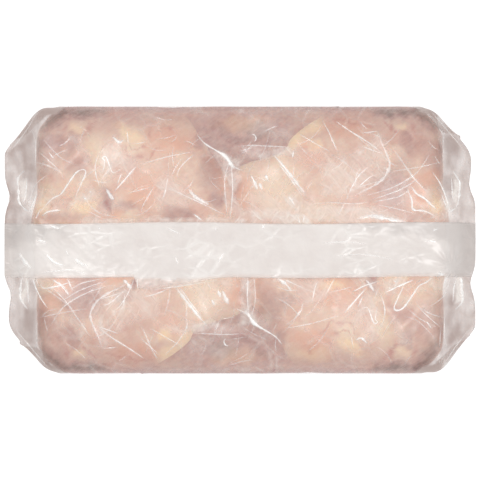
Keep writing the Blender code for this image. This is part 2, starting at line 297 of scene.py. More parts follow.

# Hazy facets of the film, partly its own haze and partly painted sheen where facets catch the light: how
# milky each is, how soft its edge is in millimetres, and its corners
Facet = namedtuple("Facet", "milk softness corners")
MILK_AND_SHEEN_FACETS = (
    Facet(0.26, 2.5, ((-110, 68), (-101, 66), (-93, 50), (-98, 46))),
    Facet(0.13, 3.0, ((-93, 57), (-84, 58), (-77, 34), (-87, 30))),
    Facet(0.22, 4.0, ((-54, 39), (-43, 41), (-24, 22), (-54, 16), (-58, 27))),
    Facet(0.25, 1.5, ((-11, 54), (0, 53), (-1, 13), (-10, 13))),
    Facet(0.30, 3.0, ((-109, 20), (-98, 20), (-90, 31), (-95, 38), (-102, 30))),
    Facet(0.30, 2.0, ((-2, 22), (45, 17), (45, 8), (-2, 8))),
    Facet(0.22, 2.0, ((126, 26), (135, 26), (135, 11), (126, 11))),
    Facet(0.28, 4.0, ((52, 47), (77, 59), (87, 69), (93, 54), (94, 45), (87, 36), (71, 27), (50, 29))),
    Facet(0.10, 1.0, ((80, 66), (90, 68), (96, 54), (91, 44), (86, 50))),
    Facet(0.10, 6.0, ((7, 54), (20, 54), (41, 29), (41, 9), (2, 10), (4, 45))),
    Facet(0.16, 4.0, ((5, 32), (42, 28), (44, 8), (5, 8))),
    Facet(0.30, 1.5, ((12, 55), (30, 59.5), (33, 53), (14, 50))),
    Facet(0.15, 2.0, ((-7, 52), (3, 52), (3, 44), (-7, 44))),
    Facet(0.12, 1.2, ((-4, 59), (31, 59), (30, 53), (-4, 50))),
    Facet(0.13, 3.0, ((17, 70), (34, 73), (33, 61), (17, 60))),
    Facet(0.10, 2.0, ((-17, 57), (-8, 57), (-8, 46), (-17, 46))),
    Facet(0.20, 2.5, ((28, 27), (38, 27), (38, 19), (28, 19))),
    Facet(0.22, 2.5, ((118, 33), (131, 33), (133, 14), (120, 14))),
    Facet(0.18, 2.5, ((-131, 31), (-119, 31), (-119, 22), (-132, 14))),
    Facet(0.15, 2.5, ((-110, 42), (-98, 42), (-96, 33), (-108, 30))),
    Facet(0.34, 3.0, ((41, 23), (82, 22), (106, 15), (105, 10), (41, 9))),
    Facet(0.16, 2.0, ((96, 59), (103, 62), (110, 48), (103, 45))),
    Facet(0.05, 4.0, ((-2, 84), (46, 84), (30, 60), (-28, 58), (-30, 84))),
    Facet(0.08, 3.0, ((-132, 44), (-124, 56), (-104, 42), (-118, 40))),
    Facet(0.11, 3.0, ((-88, 66), (-74, 62), (-66, 46), (-80, 36), (-88, 44))),
    Facet(0.16, 2.5, ((28, 60), (50, 57), (62, 48), (44, 44), (30, 50))),
    Facet(0.45, 1.0, ((-102, 14), (3, 14), (3, 8), (-102, 8))),
    Facet(0.10, 2.0, ((-60, 84), (3, 84), (3, 79), (-60, 81))),
    Facet(0.10, 2.0, ((-3, 84), (52, 84), (50, 81), (-3, 79))),
    Facet(0.60, 1.0, ((-141, 38), (-136, 41), (-136, 26), (-140, 23))),
    Facet(0.60, 1.0, ((139, 37), (135, 41), (135, 26), (138, 22))),
    Facet(0.16, 5.0, ((-126, 34), (-84, 34), (-60, 16), (-126, 12))),
    Facet(0.14, 6.0, ((-92, 66), (-30, 40), (-40, 24), (-92, 34))),
    Facet(0.08, 6.0, ((20, 50), (100, 44), (126, 30), (110, 14), (10, 14))),
)

# Painted shade and painted light on the pack's ends, as greyer and paler stretches of their film: those of
# one place, and those of all four corners alike
END_PAINTED_SHADES = (
    Facet(0.40, 3.0, ((-152, 26), (-141, 22), (-141, 8), (-152, 8))),
    Facet(-0.25, 3.0, ((152, 26), (141, 26), (141, 10), (152, 10))),
    Facet(-0.25, 3.0, ((-152, 54), (-142, 54), (-142, 43), (-152, 43))),
    Facet(0.25, 3.0, ((138, -44), (152, -44), (152, -57), (138, -57))),
    Facet(-0.20, 3.0, ((-141, -59), (-130, -59), (-130, -70), (-141, -70))),
    Facet(0.30, 3.0, ((-147, 68), (-136, 68), (-136, 57), (-147, 57))),
    Facet(0.25, 2.5, ((-138, 68), (-127, 68), (-127, 50), (-138, 50))),
    Facet(0.25, 2.5, ((127, 42), (139, 42), (139, 30), (127, 30))),
    Facet(0.25, 2.5, ((-138, 42), (-127, 42), (-127, 35), (-138, 35))),
    Facet(0.25, 2.5, ((127, -34), (138, -34), (138, -43), (127, -43))),
)
FLAP_PAINTED_SHADES = (
    Facet(0.30, 3.0, ((142, 60), (131, 70), (129, 43), (137, 44))),
    Facet(0.60, 2.0, ((108, 88), (127, 88), (129, 78), (112, 80))),
    Facet(-0.20, 2.5, ((130, 27), (140, 27), (140, 14), (130, 14))),
    Facet(0.12, 3.0, ((151, 56), (142, 62), (142, 46), (151, 46))),
)

# The breasts and the meat between them, as outlines in millimetres round a middle
Breast = namedtuple("Breast", "middle outline")
LEFT_BREAST = Breast(
    (-70, 42),
    ((-132.5, 17), (-129.5, 30), (-130, 45), (-129.5, 66), (-126, 74), (-118, 82), (-110, 85), (-80, 85.1),
     (-50, 84.8), (-30, 82), (-20.5, 71), (-11, 55), (-3, 38), (1, 18), (3, -4), (-10, -9), (-60, -8),
     (-112, -7), (-128, -4), (-133.5, 6)),
)
RIGHT_BREAST = Breast(
    (72, 40),
    ((132.5, 20), (129.5, 33), (130, 45), (129.5, 64), (126, 73), (117, 82), (108, 85), (88, 85.1),
     (74, 85), (63, 84.7), (54, 83.5), (44, 80), (34, 74.5), (26, 67.5), (23.5, 61.5), (20, 58), (13, 55.5),
     (4, 52.5), (-8, 48.5), (-13, 40), (-13, 8), (-8, -5), (4, -9), (60, -8), (112, -7), (128, -4),
     (133.5, 6)),
)
MIDDLE_MEAT = Breast(
    (3, 62),
    ((-34, 62), (-48, 82), (-24, 85), (10, 85.1), (56, 85), (64, 83), (40, 58), (14, 40), (-14, 42)),
)

# Patches of the meat's colours in millimetres: kind, strength, middle, half sizes and turn in degrees.
# The kinds for meat in shade and for its deepest shade are painted shade, in hollows and toward edges.
# Both breasts have the end patches, mirrored on the left one. A front list lies on the half toward -Y only
# and a back list on the half toward +Y only, both in the places of the drawn half.
Patch = namedtuple("Patch", "kind strength middle half_sizes turn")
END_PATCHES = (
    Patch("fat", 0.4, (103, 71), (3.5, 3.0), 0),
    Patch("cream", 0.8, (101, 72), (6.0, 3.5), 0),
    Patch("shaded_meat", 0.5, (114, 74), (16.0, 8.0), -20),
    Patch("cream", 0.6, (99, 76), (5.0, 4.0), 20),
    Patch("blood", 0.5, (95.5, 71.5), (2.0, 4.6), -20),
    Patch("blood", 0.35, (110, 70), (2.0, 4.0), 15),
    Patch("salmon", 0.5, (116, 60), (5.0, 6.0), 0),
    Patch("shaded_meat", 0.6, (117, 60), (10.0, 8.0), 0),
    Patch("shaded_meat", 0.7, (106, 62), (4.0, 11.0), 20),
    Patch("shaded_meat", 0.5, (125, 54), (5.0, 16.0), 0),
    Patch("shaded_meat", 1.0, (101, 81.5), (24.0, 6.0), 0),
    Patch("salmon", 0.6, (80, 82), (8.0, 3.0), 0),
    Patch("shaded_meat", 0.35, (113, 15), (14.0, 3.0), 0),
    Patch("shaded_meat", 0.5, (120, 54), (5.0, 9.0), 0),
    Patch("shaded_meat", 0.5, (102, 46), (8.0, 7.0), 20),
    Patch("deep_shade", 0.8, (121, 79), (12.0, 3.6), -45),
    Patch("deep_shade", 0.55, (129.5, 62), (1.8, 14.0), 0),
    Patch("deep_shade", 0.95, (102, 83.5), (18.0, 4.5), 0),
    Patch("shaded_meat", 0.8, (118, 75), (14.0, 5.0), -45),
)
LEFT_PATCHES = (
    Patch("fat", 0.95, (-100, 21.0), (8.5, 4.5), -5),
    Patch("fat", 0.6, (-70, 67), (10.0, 4.0), -30),
    Patch("cream", 0.9, (-68, 64), (8.0, 9.0), -20),
    Patch("cream", 0.9, (-66, 58), (7.0, 2.4), -10),
    Patch("cream", 0.9, (-91, 56), (6.0, 14.0), 10),
    Patch("cream", 0.6, (-102, 24), (7.0, 10.0), 0),
    Patch("cream", 0.7, (-102, 38), (7.0, 6.0), 0),
    Patch("cream", 0.6, (-86, 37), (6.0, 6.0), 0),
    Patch("cream", 0.5, (-112, 31), (6.0, 6.0), 0),
    Patch("cream", 0.5, (-94, 27), (5.0, 7.0), 0),
    Patch("cream", 0.6, (-35, 71), (6.0, 6.0), 0),
    Patch("shaded_meat", 0.5, (-105, 75), (6.0, 5.0), 0),
    Patch("salmon", 0.8, (-46, 66), (17.0, 12.0), 0),
    Patch("cream", 0.5, (-40, 75), (14.0, 5.0), 0),
    Patch("salmon", 0.75, (-60, 33), (13.0, 12.0), 20),
    Patch("salmon", 0.9, (-108, 31), (6.0, 6.0), 0),
    Patch("salmon", 1.0, (-77, 16), (6.0, 4.0), -20),
    Patch("blood", 0.3, (-44.7, 69.4), (1.6, 2.6), 0),
    Patch("blood", 0.4, (-57.0, 67.0), (1.5, 3.0), 0),
    Patch("blood", 0.5, (-83.0, 23.0), (2.0, 4.0), 25),
    Patch("shaded_meat", 0.6, (-72, 21), (6.0, 4.0), 0),
    Patch("shaded_meat", 0.75, (-38, 16), (12.0, 5.0), 0),
    Patch("shaded_meat", 0.6, (-19, 44), (8.0, 14.0), 0),
    Patch("shaded_meat", 0.7, (-25, 64), (4.0, 7.0), 20),
    Patch("shaded_meat", 0.75, (-84, 26), (3.5, 8.0), 20),
    Patch("salmon", 0.6, (-6, 34), (6.0, 14.0), 0),
)
RIGHT_PATCHES = (
    Patch("fat", 0.6, (35, 66), (4.5, 9.0), -35),
    Patch("fat", 0.6, (46, 72), (9.0, 5.0), 30),
    Patch("fat", 0.6, (47.5, 60), (3.0, 5.0), 30),
    Patch("cream", 0.8, (40, 70), (15.0, 7.0), 35),
    Patch("cream", 0.8, (26, 60), (14.0, 6.0), 30),
    Patch("cream", 0.6, (6, 49), (12.0, 6.0), 15),
    Patch("salmon", 0.9, (40, 62), (4.0, 3.5), 0),
    Patch("cream", 0.9, (24, 34), (17.0, 20.0), 0),
    Patch("cream", 0.6, (46, 17), (20.0, 9.0), 0),
    Patch("salmon", 1.0, (67, 73), (16.0, 8.0), 0),
    Patch("salmon", 0.6, (44, 51), (9.0, 5.0), 0),
    Patch("salmon", 0.8, (113, 26), (8.0, 8.0), 0),
    Patch("salmon", 0.8, (120, 40), (7.0, 6.0), 0),
    Patch("salmon", 0.6, (92, 12), (14.0, 3.0), 0),
    Patch("shaded_meat", 0.15, (66, 55), (13.0, 6.0), 0),
    Patch("salmon", 0.8, (2, 32), (7.0, 9.0), 0),
    Patch("shaded_meat", 0.6, (-5, 34), (5.0, 14.0), 0),
    Patch("shaded_meat", 0.8, (97, 33), (11.0, 15.0), 0),
    Patch("cream", 0.4, (48, 34), (7.0, 7.0), 0),
)
MIDDLE_PATCHES = (
    Patch("shaded_meat", 0.9, (4, 62), (60.0, 40.0), 0),
    Patch("gold", 0.45, (2, 74.5), (17.0, 5.0), 3),
    Patch("deep_shade", 0.4, (12, 70), (10.0, 5.0), 0),
    Patch("shaded_meat", 1.0, (-3, 63), (12.0, 6.0), -5),
    Patch("shaded_meat", 1.0, (-22, 60), (7.0, 9.0), 20),
    Patch("deep_shade", 0.3, (-9, 68), (12.0, 3.5), -37),
    Patch("deep_shade", 0.35, (-1, 62.5), (7.0, 3.0), 0),
    Patch("blood", 0.3, (-7, 66), (13.0, 4.5), -37),
)
MIDDLE_FRONT_PATCHES = (Patch("cream", 0.9, (-13, 52), (6.0, 5.0), 0),)
LEFT_BACK_PATCHES = (
    Patch("cream", 0.6, (-71, 14), (7.0, 5.0), 0),
    Patch("gold", 0.7, (-124, 26), (5.0, 9.0), 0),
    Patch("fat", 0.9, (-125, 22), (4.5, 6.0), 0),
    Patch("shaded_meat", 0.9, (-14, 25), (5.0, 7.0), 0),
    Patch("shaded_meat", 0.9, (-119, 62), (15.0, 6.0), 0),
    Patch("cream", 0.8, (-122, 31), (6.0, 5.0), 0),
)
RIGHT_BACK_PATCHES = (
    Patch("gold", 0.7, (124, 26), (5.0, 9.0), 0),
    Patch("fat", 0.9, (125, 22), (4.5, 6.0), 0),
)
LEFT_FRONT_PATCHES = (
    Patch("fat", 0.8, (-57, 29), (8.0, 3.0), 0),
    Patch("fat", 0.3, (-46, 72), (13.0, 5.0), 0),
    Patch("cream", 0.6, (-124, 28), (8.0, 7.0), 0),
    Patch("cream", 0.8, (-13, 50), (6.0, 5.0), 0),
    Patch("shaded_meat", 0.6, (-28, 38), (7.0, 6.0), 0),
    Patch("shaded_meat", 0.6, (-120, 48), (8.0, 6.0), 0),
    Patch("deep_shade", 0.5, (-123, 70), (7.0, 7.0), 0),
)
RIGHT_FRONT_PATCHES = (
    Patch("salmon", 1.0, (112, 25), (18.0, 4.0), 0),
    Patch("salmon", 0.8, (84, 25), (16.0, 3.0), 0),
    Patch("shaded_meat", 1.0, (66.5, 27), (1.8, 4.0), 0),
    Patch("cream", 0.8, (124, 29), (8.0, 5.0), 0),
    Patch("cream", 0.8, (20, 53), (8.0, 4.0), 0),
    Patch("shaded_meat", 0.5, (74, 34), (7.0, 6.0), 0),
    Patch("shaded_meat", 0.6, (108, 38), (8.0, 7.0), 0),
    Patch("blood", 0.4, (52, 31.8), (6.0, 1.0), 9),
)

# Thin lines on the meat in millimetres: kind, strength, half width and places along each. Those of the kind
# for meat in shade are painted shade along the breasts' borders
Vein = namedtuple("Vein", "kind strength half_width points")
LEFT_VEINS = (
    Vein("shaded_meat", 0.6, 2.5, ((-30, 82), (-20.5, 71), (-11, 55), (-3, 38), (0, 24))),
    Vein("blood", 0.4, 0.5, ((-75, 59), (-68, 53), (-60, 52), (-52, 58))),
    Vein("blood", 0.5, 0.6, ((-92, 76), (-94, 70), (-99, 67))),
    Vein("blood", 0.4, 0.6, ((-113, 27), (-108, 25), (-104, 26))),
    Vein("blood", 0.5, 0.4, ((-72, 61), (-66, 57.5), (-58, 58.5))),
)
RIGHT_VEINS = (
    Vein("shaded_meat", 0.35, 1.6, ((-10, 48), (4, 52.5), (13, 55.5), (20, 58), (23.5, 61.5), (26, 67.5),
                              (34, 74.5))),
    Vein("blood", 0.5, 0.6, ((92, 76), (94, 70), (99, 67))),
    Vein("blood", 0.3, 0.7, ((60, 78), (72, 74), (84, 73))),
)
MIDDLE_VEINS = (
    Vein("cream", 0.7, 4.5, ((-8, 48.5), (4, 52.5), (13, 55.5), (20, 58), (24, 61.5), (27, 68), (36, 75),
                             (48, 82))),
)
MEAT_KINDS = ("salmon", "cream", "shaded_meat", "gold", "fat", "blood", "deep_shade")

# The kinds of meat, each made twice: how far it lies under the film, its patches and veins, and the side of
# its end patches, with 0 for none
Cut = namedtuple("Cut", "name breast depth patches back_patches front_patches end_side veins")
CUTS = (
    Cut("left_breast", LEFT_BREAST, 0.0, LEFT_PATCHES, LEFT_BACK_PATCHES, LEFT_FRONT_PATCHES, -1.0,
        LEFT_VEINS),
    Cut("right_breast", RIGHT_BREAST, 0.0, RIGHT_PATCHES, RIGHT_BACK_PATCHES, RIGHT_FRONT_PATCHES, 1.0,
        RIGHT_VEINS),
    Cut("middle_meat", MIDDLE_MEAT, MIDDLE_DEPTH, MIDDLE_PATCHES, (), MIDDLE_FRONT_PATCHES, 0.0,
        MIDDLE_VEINS),
)

# Streaks of the seam's film, partly painted glints, creases beside it, its paler left part, partly painted
# sheen, and the square patch on its free edge
SEAM_CREASES = (
    Crease(1.8, 0.8, ((-140.4, -8.4), (-136.0, -14.2), (-132.1, -18.0))),
    Crease(1.4, 0.8, ((-122.6, -9.1), (-117.4, -14.2), (-111.1, -16.1))),
    Crease(1.2, 0.6, ((-128.9, -0.1), (-122.6, -1.4))),
    Crease(1.2, 0.7, ((-120.0, 8.8), (-113.6, 6.9))),
    Crease(0.8, 0.7, ((-109.8, -6.5), (-108.5, -10.3))),
    Crease(1.8, 0.8, ((-104.7, -11.6), (-101.0, -14.5), (-97.0, -16.7))),
    Crease(1.5, 0.9, ((-98.0, -15.8), (-96.2, -16.4))),
    Crease(1.2, 0.7, ((-89.6, 7.9), (-87.8, 7.0))),
    Crease(0.9, 0.6, ((-46.0, 7.5), (-38.3, 4.3))),
    Crease(1.2, 0.8, ((-16.2, 7.6), (-14.6, 6.6))),
    Crease(0.9, 0.5, ((-14.0, -14.2), (-10.2, -7.8))),
    Crease(0.9, 0.6, ((-41.0, -9.9), (-39.0, -15.0))),
    Crease(1.2, 0.8, ((14.0, 7.0), (15.3, 9.8))),
    Crease(1.0, 0.5, ((117.4, -0.8), (121.0, -0.6), (125.1, -1.4))),
    Crease(1.0, 0.6, ((122.0, 6.0), (125.5, 7.2))),
    Crease(1.4, 0.7, ((125.1, -21.0), (129.6, -22.0))),
    Crease(0.7, 0.5, ((-125.0, -20.5), (-108.0, -19.0), (-98.0, -21.0))),
    Crease(0.6, 0.4, ((52.0, -2.0), (66.0, -1.0), (80.0, -2.5))),
    Crease(0.6, 0.4, ((60.0, -10.0), (78.0, -9.0), (96.0, -12.0))),
)
LIFTED_CREASES = (
    Crease(0.5, 0.4, ((-64.5, -30.6), (-54.0, -30.9), (-45.0, -30.2), (-25.0, -27.0), (-12.0, -25.2))),
    Crease(0.5, 0.6, ((-61.0, -36.0), (-53.0, -34.0), (-45.1, -30.8))),
    Crease(0.5, 0.6, ((-64.3, -31.2), (-64.8, -27.5), (-64.5, -24.0))),
    Crease(0.7, 0.8, ((-126.4, -26.9), (-124.5, -30.4), (-115.3, -29.3), (-109.3, -27.4), (-104.3, -26.3))),
    Crease(0.8, 0.8, ((-115.3, -26.3), (-111.3, -30.8), (-107.9, -34.9))),
    Crease(2.2, 1.0, ((-73.4, -24.9), (-71.0, -27.6), (-68.4, -30.8))),
    Crease(0.8, 0.8, ((91.1, -33.3), (100.5, -28.9), (110.0, -24.9))),
    Crease(0.6, 0.7, ((70.6, -32.9), (78.5, -28.9), (87.6, -25.9))),
)
SEAM_SHEEN_PART = Facet(1.0, 4.0, ((-136, -9), (-118, -1), (-92, -3), (-92, -19), (-112, -21), (-134, -18)))
BRIGHT_SQUARE = Facet(1.0, 1.0, ((-50, -18), (-40, -18), (-40, -25.5), (-50, -25.5)))


def number_setting(name, text, default, unit="NONE", low=0.0, high=1000.0):
    """A float property with a name and a description."""
    return bpy.props.FloatProperty(
        name=name, description=text, default=default, min=low, max=high, unit=unit, precision=4
    )


def colour_setting(name, text, default):
    """A colour property with a name and a description."""
    return bpy.props.FloatVectorProperty(
        name=name, description=text, default=default, subtype="COLOR", size=3, min=0.0, max=1.0
    )


class PackFilmSettings(bpy.types.PropertyGroup):
    """Sizes and colours of the film, its creases and its seam."""

    crumple: number_setting("Crumple", "Depth of the film's crumpling", 0.0008, "LENGTH")
    crease_height: number_setting("Crease Height", "How far a crease stands up", 0.0003, "LENGTH")
    seam_thickness: number_setting("Seam Thickness", "Thickness of the back seam", 0.0004, "LENGTH")
    seam_gap: number_setting("Seam Gap", "Gap between the film and its seam", 0.0004, "LENGTH")
    clear_veil: number_setting("Clear Veil", "How milky the smooth film is", 0.05)
    veil_colour: colour_setting("Veil Colour", "Colour of milky film", (0.90, 0.83, 0.77))
    # Grey of the film past the meat and of film seen edge on: partly its own, partly painted shade and
    # reflection
    shade_colour: colour_setting("Shade Colour", "Colour of film seen edge on", (0.43, 0.32, 0.29))
    # Whitened folds with painted glints along them
    crease_and_glint_colour: colour_setting("Crease Colour", "Colour of sharply folded film", (1.0, 0.985, 0.965))
    seam_colour: colour_setting("Seam Colour", "Colour of the milky seam", (0.83, 0.765, 0.73))
    seam_pale: colour_setting("Seam Highlights", "Colour of the seam's milkiest film", (0.93, 0.88, 0.845))
    seam_end_colour: colour_setting("Seam End Colour", "Colour of the seam's ends", (0.62, 0.565, 0.54))


class PackMeatSettings(bpy.types.PropertyGroup):
    """Sizes and colours of the breasts."""

    clearance: number_setting("Clearance", "Gap between the meat and the film", 0.0009, "LENGTH")
    base_colour: colour_setting("Meat Colour", "Colour of plain raw breast", (0.74, 0.47, 0.385))
    pale_colour: colour_setting("Pale Colour", "Colour of paler raw breast", (0.84, 0.62, 0.50))
    salmon_colour: colour_setting("Salmon Colour", "Colour of smooth breast", (0.83, 0.475, 0.345))
    cream_colour: colour_setting("Cream Colour", "Colour of meat under pale skin of fat", (0.88, 0.69, 0.53))
    gold_colour: colour_setting("Gold Colour", "Colour of meat with fat behind it", (0.74, 0.45, 0.27))
    shaded_meat_colour: colour_setting("Mauve Colour", "Colour of meat in shade", (0.48, 0.275, 0.255))
    fat_colour: colour_setting("Fat Colour", "Colour of fat", (1.0, 0.745, 0.49))
    blood_colour: colour_setting("Blood Colour", "Colour of veins and spots", (0.47, 0.11, 0.11))
    # Painted shade, deepest at the meat's edges and in the hollow between the breasts
    deep_shade_colour: colour_setting("Edge Colour", "Colour of wet folds at the edge", (0.23, 0.165, 0.14))
    grain_colour: colour_setting("Grain Colour", "Colour of the meat's fibres", (0.93, 0.80, 0.72))


class PackStageSettings(bpy.types.PropertyGroup):
    """The camera, the lights and the floor."""

    view_width: number_setting("View Width", "Width that the camera takes in", 0.30638, "LENGTH")
    lens: number_setting("Lens", "Focal length in millimetres", 250.0)
    key_power: number_setting("Key Power", "Power of each softbox in watts", 2.3)
    sky: number_setting("Sky", "Strength of the light from all round", 0.62)
    floor_glow: number_setting("Floor Glow", "Light that the floor gives off", 0.75)


# The film's form, worked out for arrays of places


def smoothstep(low, high, value):
    share = np.clip((value - low) / (high - low), 0.0, 1.0)
    return share * share * (3.0 - 2.0 * share)


def smooth_min(first, second, blend):
    share = np.clip(0.5 + 0.5 * (second - first) / blend, 0.0, 1.0)
    return second + (first - second) * share - blend * share * (1.0 - share)


def superellipse(share, power):
    """Height of a unit superellipse at a share of its half width."""
    return (1.0 - np.minimum(1.0, np.abs(share)) ** power) ** (1.0 / power)


def of_corner(across, measure):
    """A corner's measure on the side that the sign of across says."""
    return np.where(across > 0.0, getattr(LONG_CORNER, measure), getattr(STEEP_CORNER, measure))


def half_width(along, across):
    """Half the pack's width at a distance from its middle, on the side that the sign of across says."""
    slanted = of_corner(across, "across") - of_corner(across, "slope") * (along - of_corner(across, "along"))
    return smooth_min(HALF_WIDTH, slanted, of_corner(across, "blend"))


def end_shortfall(across):
    """How far a flap's edge stays short of the pack's full length."""
    rounding = of_corner(across, "rounding")
    beyond = np.clip(np.abs(across) - of_corner(across, "round_from"), 0.0, rounding)
    short = beyond * beyond / (2.0 * rounding)
    short = short + of_corner(across, "shortfall") * smoothstep(SHORTFALL_FROM, SHORTFALL_TO, np.abs(across))
    for scallop in SCALLOPS:
        short = short + scallop.depth * np.exp(-(((across - scallop.across) / scallop.width) ** 2))
    return short


def seam_edges(x):
    """Where the seam's front and back edges lie across the pack."""
    lift = LIFT_WIDTH * smoothstep(LIFT_START, LIFT_FULL, x) * (1.0 - smoothstep(LIFT_TURN, LIFT_END, x))
    front = SEAM_OFFSET - SEAM_WIDTH / 2.0 - lift - EDGE_WANDER * np.sin(x * EDGE_WAVES)
    return front, front + SEAM_WIDTH + lift


def side_ease(share):
    """Share of the way in from a side, small steps first."""
    return LANE_EVENNESS * share + (1.0 - LANE_EVENNESS) * (1.0 - np.cos(share * math.pi / 2.0))


def lane_place(lane, x, front_side, back_side):
    """Where a lane lies across the pack."""
    front, back = seam_edges(x)
    from_front = np.clip(lane / FRONT_LANES, 0.0, 1.0)
    from_back = np.clip((LANES - lane) / BACK_LANES, 0.0, 1.0)
    front_place = front_side + (front - front_side) * side_ease(from_front)
    back_place = back_side + (back - back_side) * side_ease(from_back)
    seam_place = front + (back - front) * (lane - FRONT_LANES) / SEAM_LANES
    place = np.where(lane < FRONT_LANES, front_place, seam_place)
    return np.where(lane > LANES - BACK_LANES, back_place, place)


def distance_to(points, x, y):
    """Distance from places to a path of points, and the share of the path at which each is nearest."""
    starts = np.array(points[:-1], dtype=float)
    reaches = np.array(points[1:], dtype=float) - starts
    lengths = np.hypot(reaches[:, 0], reaches[:, 1])
    before = np.concatenate(([0.0], np.cumsum(lengths)))
    nearest = np.full(np.shape(x), np.inf)
    share = np.zeros(np.shape(x))
    for start, reach, length, gone in zip(starts, reaches, lengths, before):
        part = np.clip(((x - start[0]) * reach[0] + (y - start[1]) * reach[1]) / (length * length), 0.0, 1.0)
        away = np.hypot(x - start[0] - part * reach[0], y - start[1] - part * reach[1])
        closer = away < nearest
        nearest = np.where(closer, away, nearest)
        share = np.where(closer, (gone + part * length) / before[-1], share)
    return nearest, share


def relief(x, y):
    """What the meat and the film's broad folds add to the smooth crown of the back."""
    height = np.zeros(np.shape(x))
    for end in (-1.0, 1.0):
        for swelling in SWELLINGS:
            along = (x - end * swelling.along) / swelling.half_length
            across = (y + end * swelling.across) / swelling.half_width
            height += swelling.rise * np.exp(-((along * along + across * across) ** SWELLING_STEEPNESS))
        for fold in FOLDS:
            ends = [(end * along, -end * across) for along, across in (fold.start, fold.end)]
            away = distance_to(ends, x, y)[0] / FOLD_HALF_WIDTH
            height += fold.rise * np.exp(-away * away)
        for gather in GATHERS:
            along = x - end * gather.along
            across = y + end * gather.across
            distance = np.hypot(along, across)
            fan = np.cos(gather.pleats * np.arctan2(across, along))
            near = 1.0 - np.exp(-((distance / GATHER_CORE) ** 2))
            height += gather.height * fan * near * np.exp(-((distance / gather.reach) ** 2))
    return height


def back_height(x, y, v, along):
    """Height of the smooth film on the pack's back."""
    shoulder = superellipse(np.minimum(along, CREASE) / (HALF_LENGTH * BACK_REACH), BACK_POWER_ALONG)
    left = np.clip((HALF_LENGTH - along) / FLAP_LENGTH, 0.0, 1.0)
    on_flap = smoothstep(SHOULDER_START, SHOULDER_END, along)
    across = superellipse(v, BACK_POWER_ACROSS + FLAP_POWER_GAIN * on_flap)
    fade = (1.0 - np.abs(v) ** RELIEF_SIDE_POWER) * (1.0 - smoothstep(SHOULDER_END, HALF_LENGTH, along))
    return RIM_HEIGHT + CROWN_RISE * shoulder * left**FLAP_HOLLOW * across + relief(x, y) * fade


def under_height(v, along):
    """Height of the film under the pack."""
    depth = RIM_HEIGHT + UNDER_SINK
    rise = depth * np.maximum(0.0, (along - HEEL) / (HALF_LENGTH - HEEL)) ** HEEL_POWER
    return np.maximum(0.0, RIM_HEIGHT - (depth - rise) * superellipse(v, UNDER_POWER))


def gusset_depth(along):
    """How far the sides tuck in between the two panels of a flap."""
    opening = smoothstep(SHOULDER_START, CREASE, along)
    return GUSSET_DEPTH * opening * (1.0 - smoothstep(SHOULDER_END, HALF_LENGTH, along))


def film_places(u, lane, is_back):
    """Places of the film's points: u runs from -1 to 1 along the pack, and lane from 0 to LANES across it."""
    end = np.where(u < 0.0, -1.0, 1.0)
    along = np.minimum(1.0, np.abs(u)) * HALF_LENGTH
    front_side = -half_width(along, end)
    back_side = half_width(along, -end)
    y = lane_place(lane, end * along, front_side, back_side)
    v = np.clip(y / np.where(y > 0.0, back_side, -front_side), -1.0, 1.0)
    pulled = end_shortfall(-end * y) * smoothstep(CREASE - FLAP_LENGTH, HALF_LENGTH, along)
    x = end * (along - pulled)
    height = np.where(is_back, back_height(x, y, v, along), under_height(v, along))
    height = np.where(along > HALF_LENGTH - WELD_DISTANCE, RIM_HEIGHT, height)
    from_side = np.minimum(lane, LANES - lane)
    tuck = gusset_depth(along) * np.clip(1.0 - from_side, 0.0, 1.0) ** 1.5
    y = y - np.copysign(tuck, y)
    return x, y, height, v, along


def film_height(x, y):
    """Height of the smooth film on the back, over places on the table, with how far out each place is."""
    end = np.where(x < 0.0, -1.0, 1.0)
    short = end_shortfall(-end * y)
    along = np.abs(x)
    for _ in range(3):
        pulled = short * smoothstep(CREASE - FLAP_LENGTH, HALF_LENGTH, along)
        along = np.minimum(HALF_LENGTH, np.abs(x) + pulled)
    v = np.clip(y / half_width(along, -end * y), -1.0, 1.0)
    return back_height(x, y, v, along), v, along


# Small wrinkles of the film


def noise_at(x, y, size, seed):
    """Smooth noise over places, from about -0.6 to 0.6."""
    return np.array([noise.noise((a / size, b / size, seed)) for a, b in zip(x, y)])


def ridged(x, y, size, seed):
    """Sharp ridges with rounded hollows between them, from 0 to 1."""
    return 1.0 - np.minimum(1.0, 2.2 * np.abs(noise_at(x, y, size, seed)))


def turned(points, half):
    """Points in millimetres as metres, as they are for half 1, or turned half round for half -1."""
    return [(half * x * MM, half * y * MM) for x, y in points]


def crease_relief(x, y, height):
    """Height that the drawn creases add to the film round them."""
    total = np.zeros(len(x))
    for half in (1, -1):
        for crease in LEFT_CREASES + RIGHT_CREASES:
            away, share = distance_to(turned(crease.points, half), x, y)
            spread = (0.8 + 0.6 * crease.width) * MM
            taper = np.sin(math.pi * np.clip(share, 0.03, 0.97))
            total += height * crease.width * np.exp(-away / spread) * taper
    return total


def wrinkle(x, y, crumple):
    """Crumpling of the film in facets of a few sizes."""
    bend_x = x + 0.004 * noise_at(x, y, 0.03, 5.0)
    bend_y = y + 0.004 * noise_at(x, y, 0.03, 9.0)
    skew_x = 0.8 * bend_x + 0.6 * bend_y
    skew_y = 0.8 * bend_y - 0.6 * bend_x
    broad = ridged(bend_x, bend_y * 0.7, 0.030, 1.0)
    middling = ridged(skew_x, skew_y * 0.5, 0.014, 2.0)
    fine = ridged(skew_y, skew_x * 0.6, 0.007, 3.0)
    return crumple * (0.8 * broad + 0.45 * middling + 0.22 * fine - 0.7)


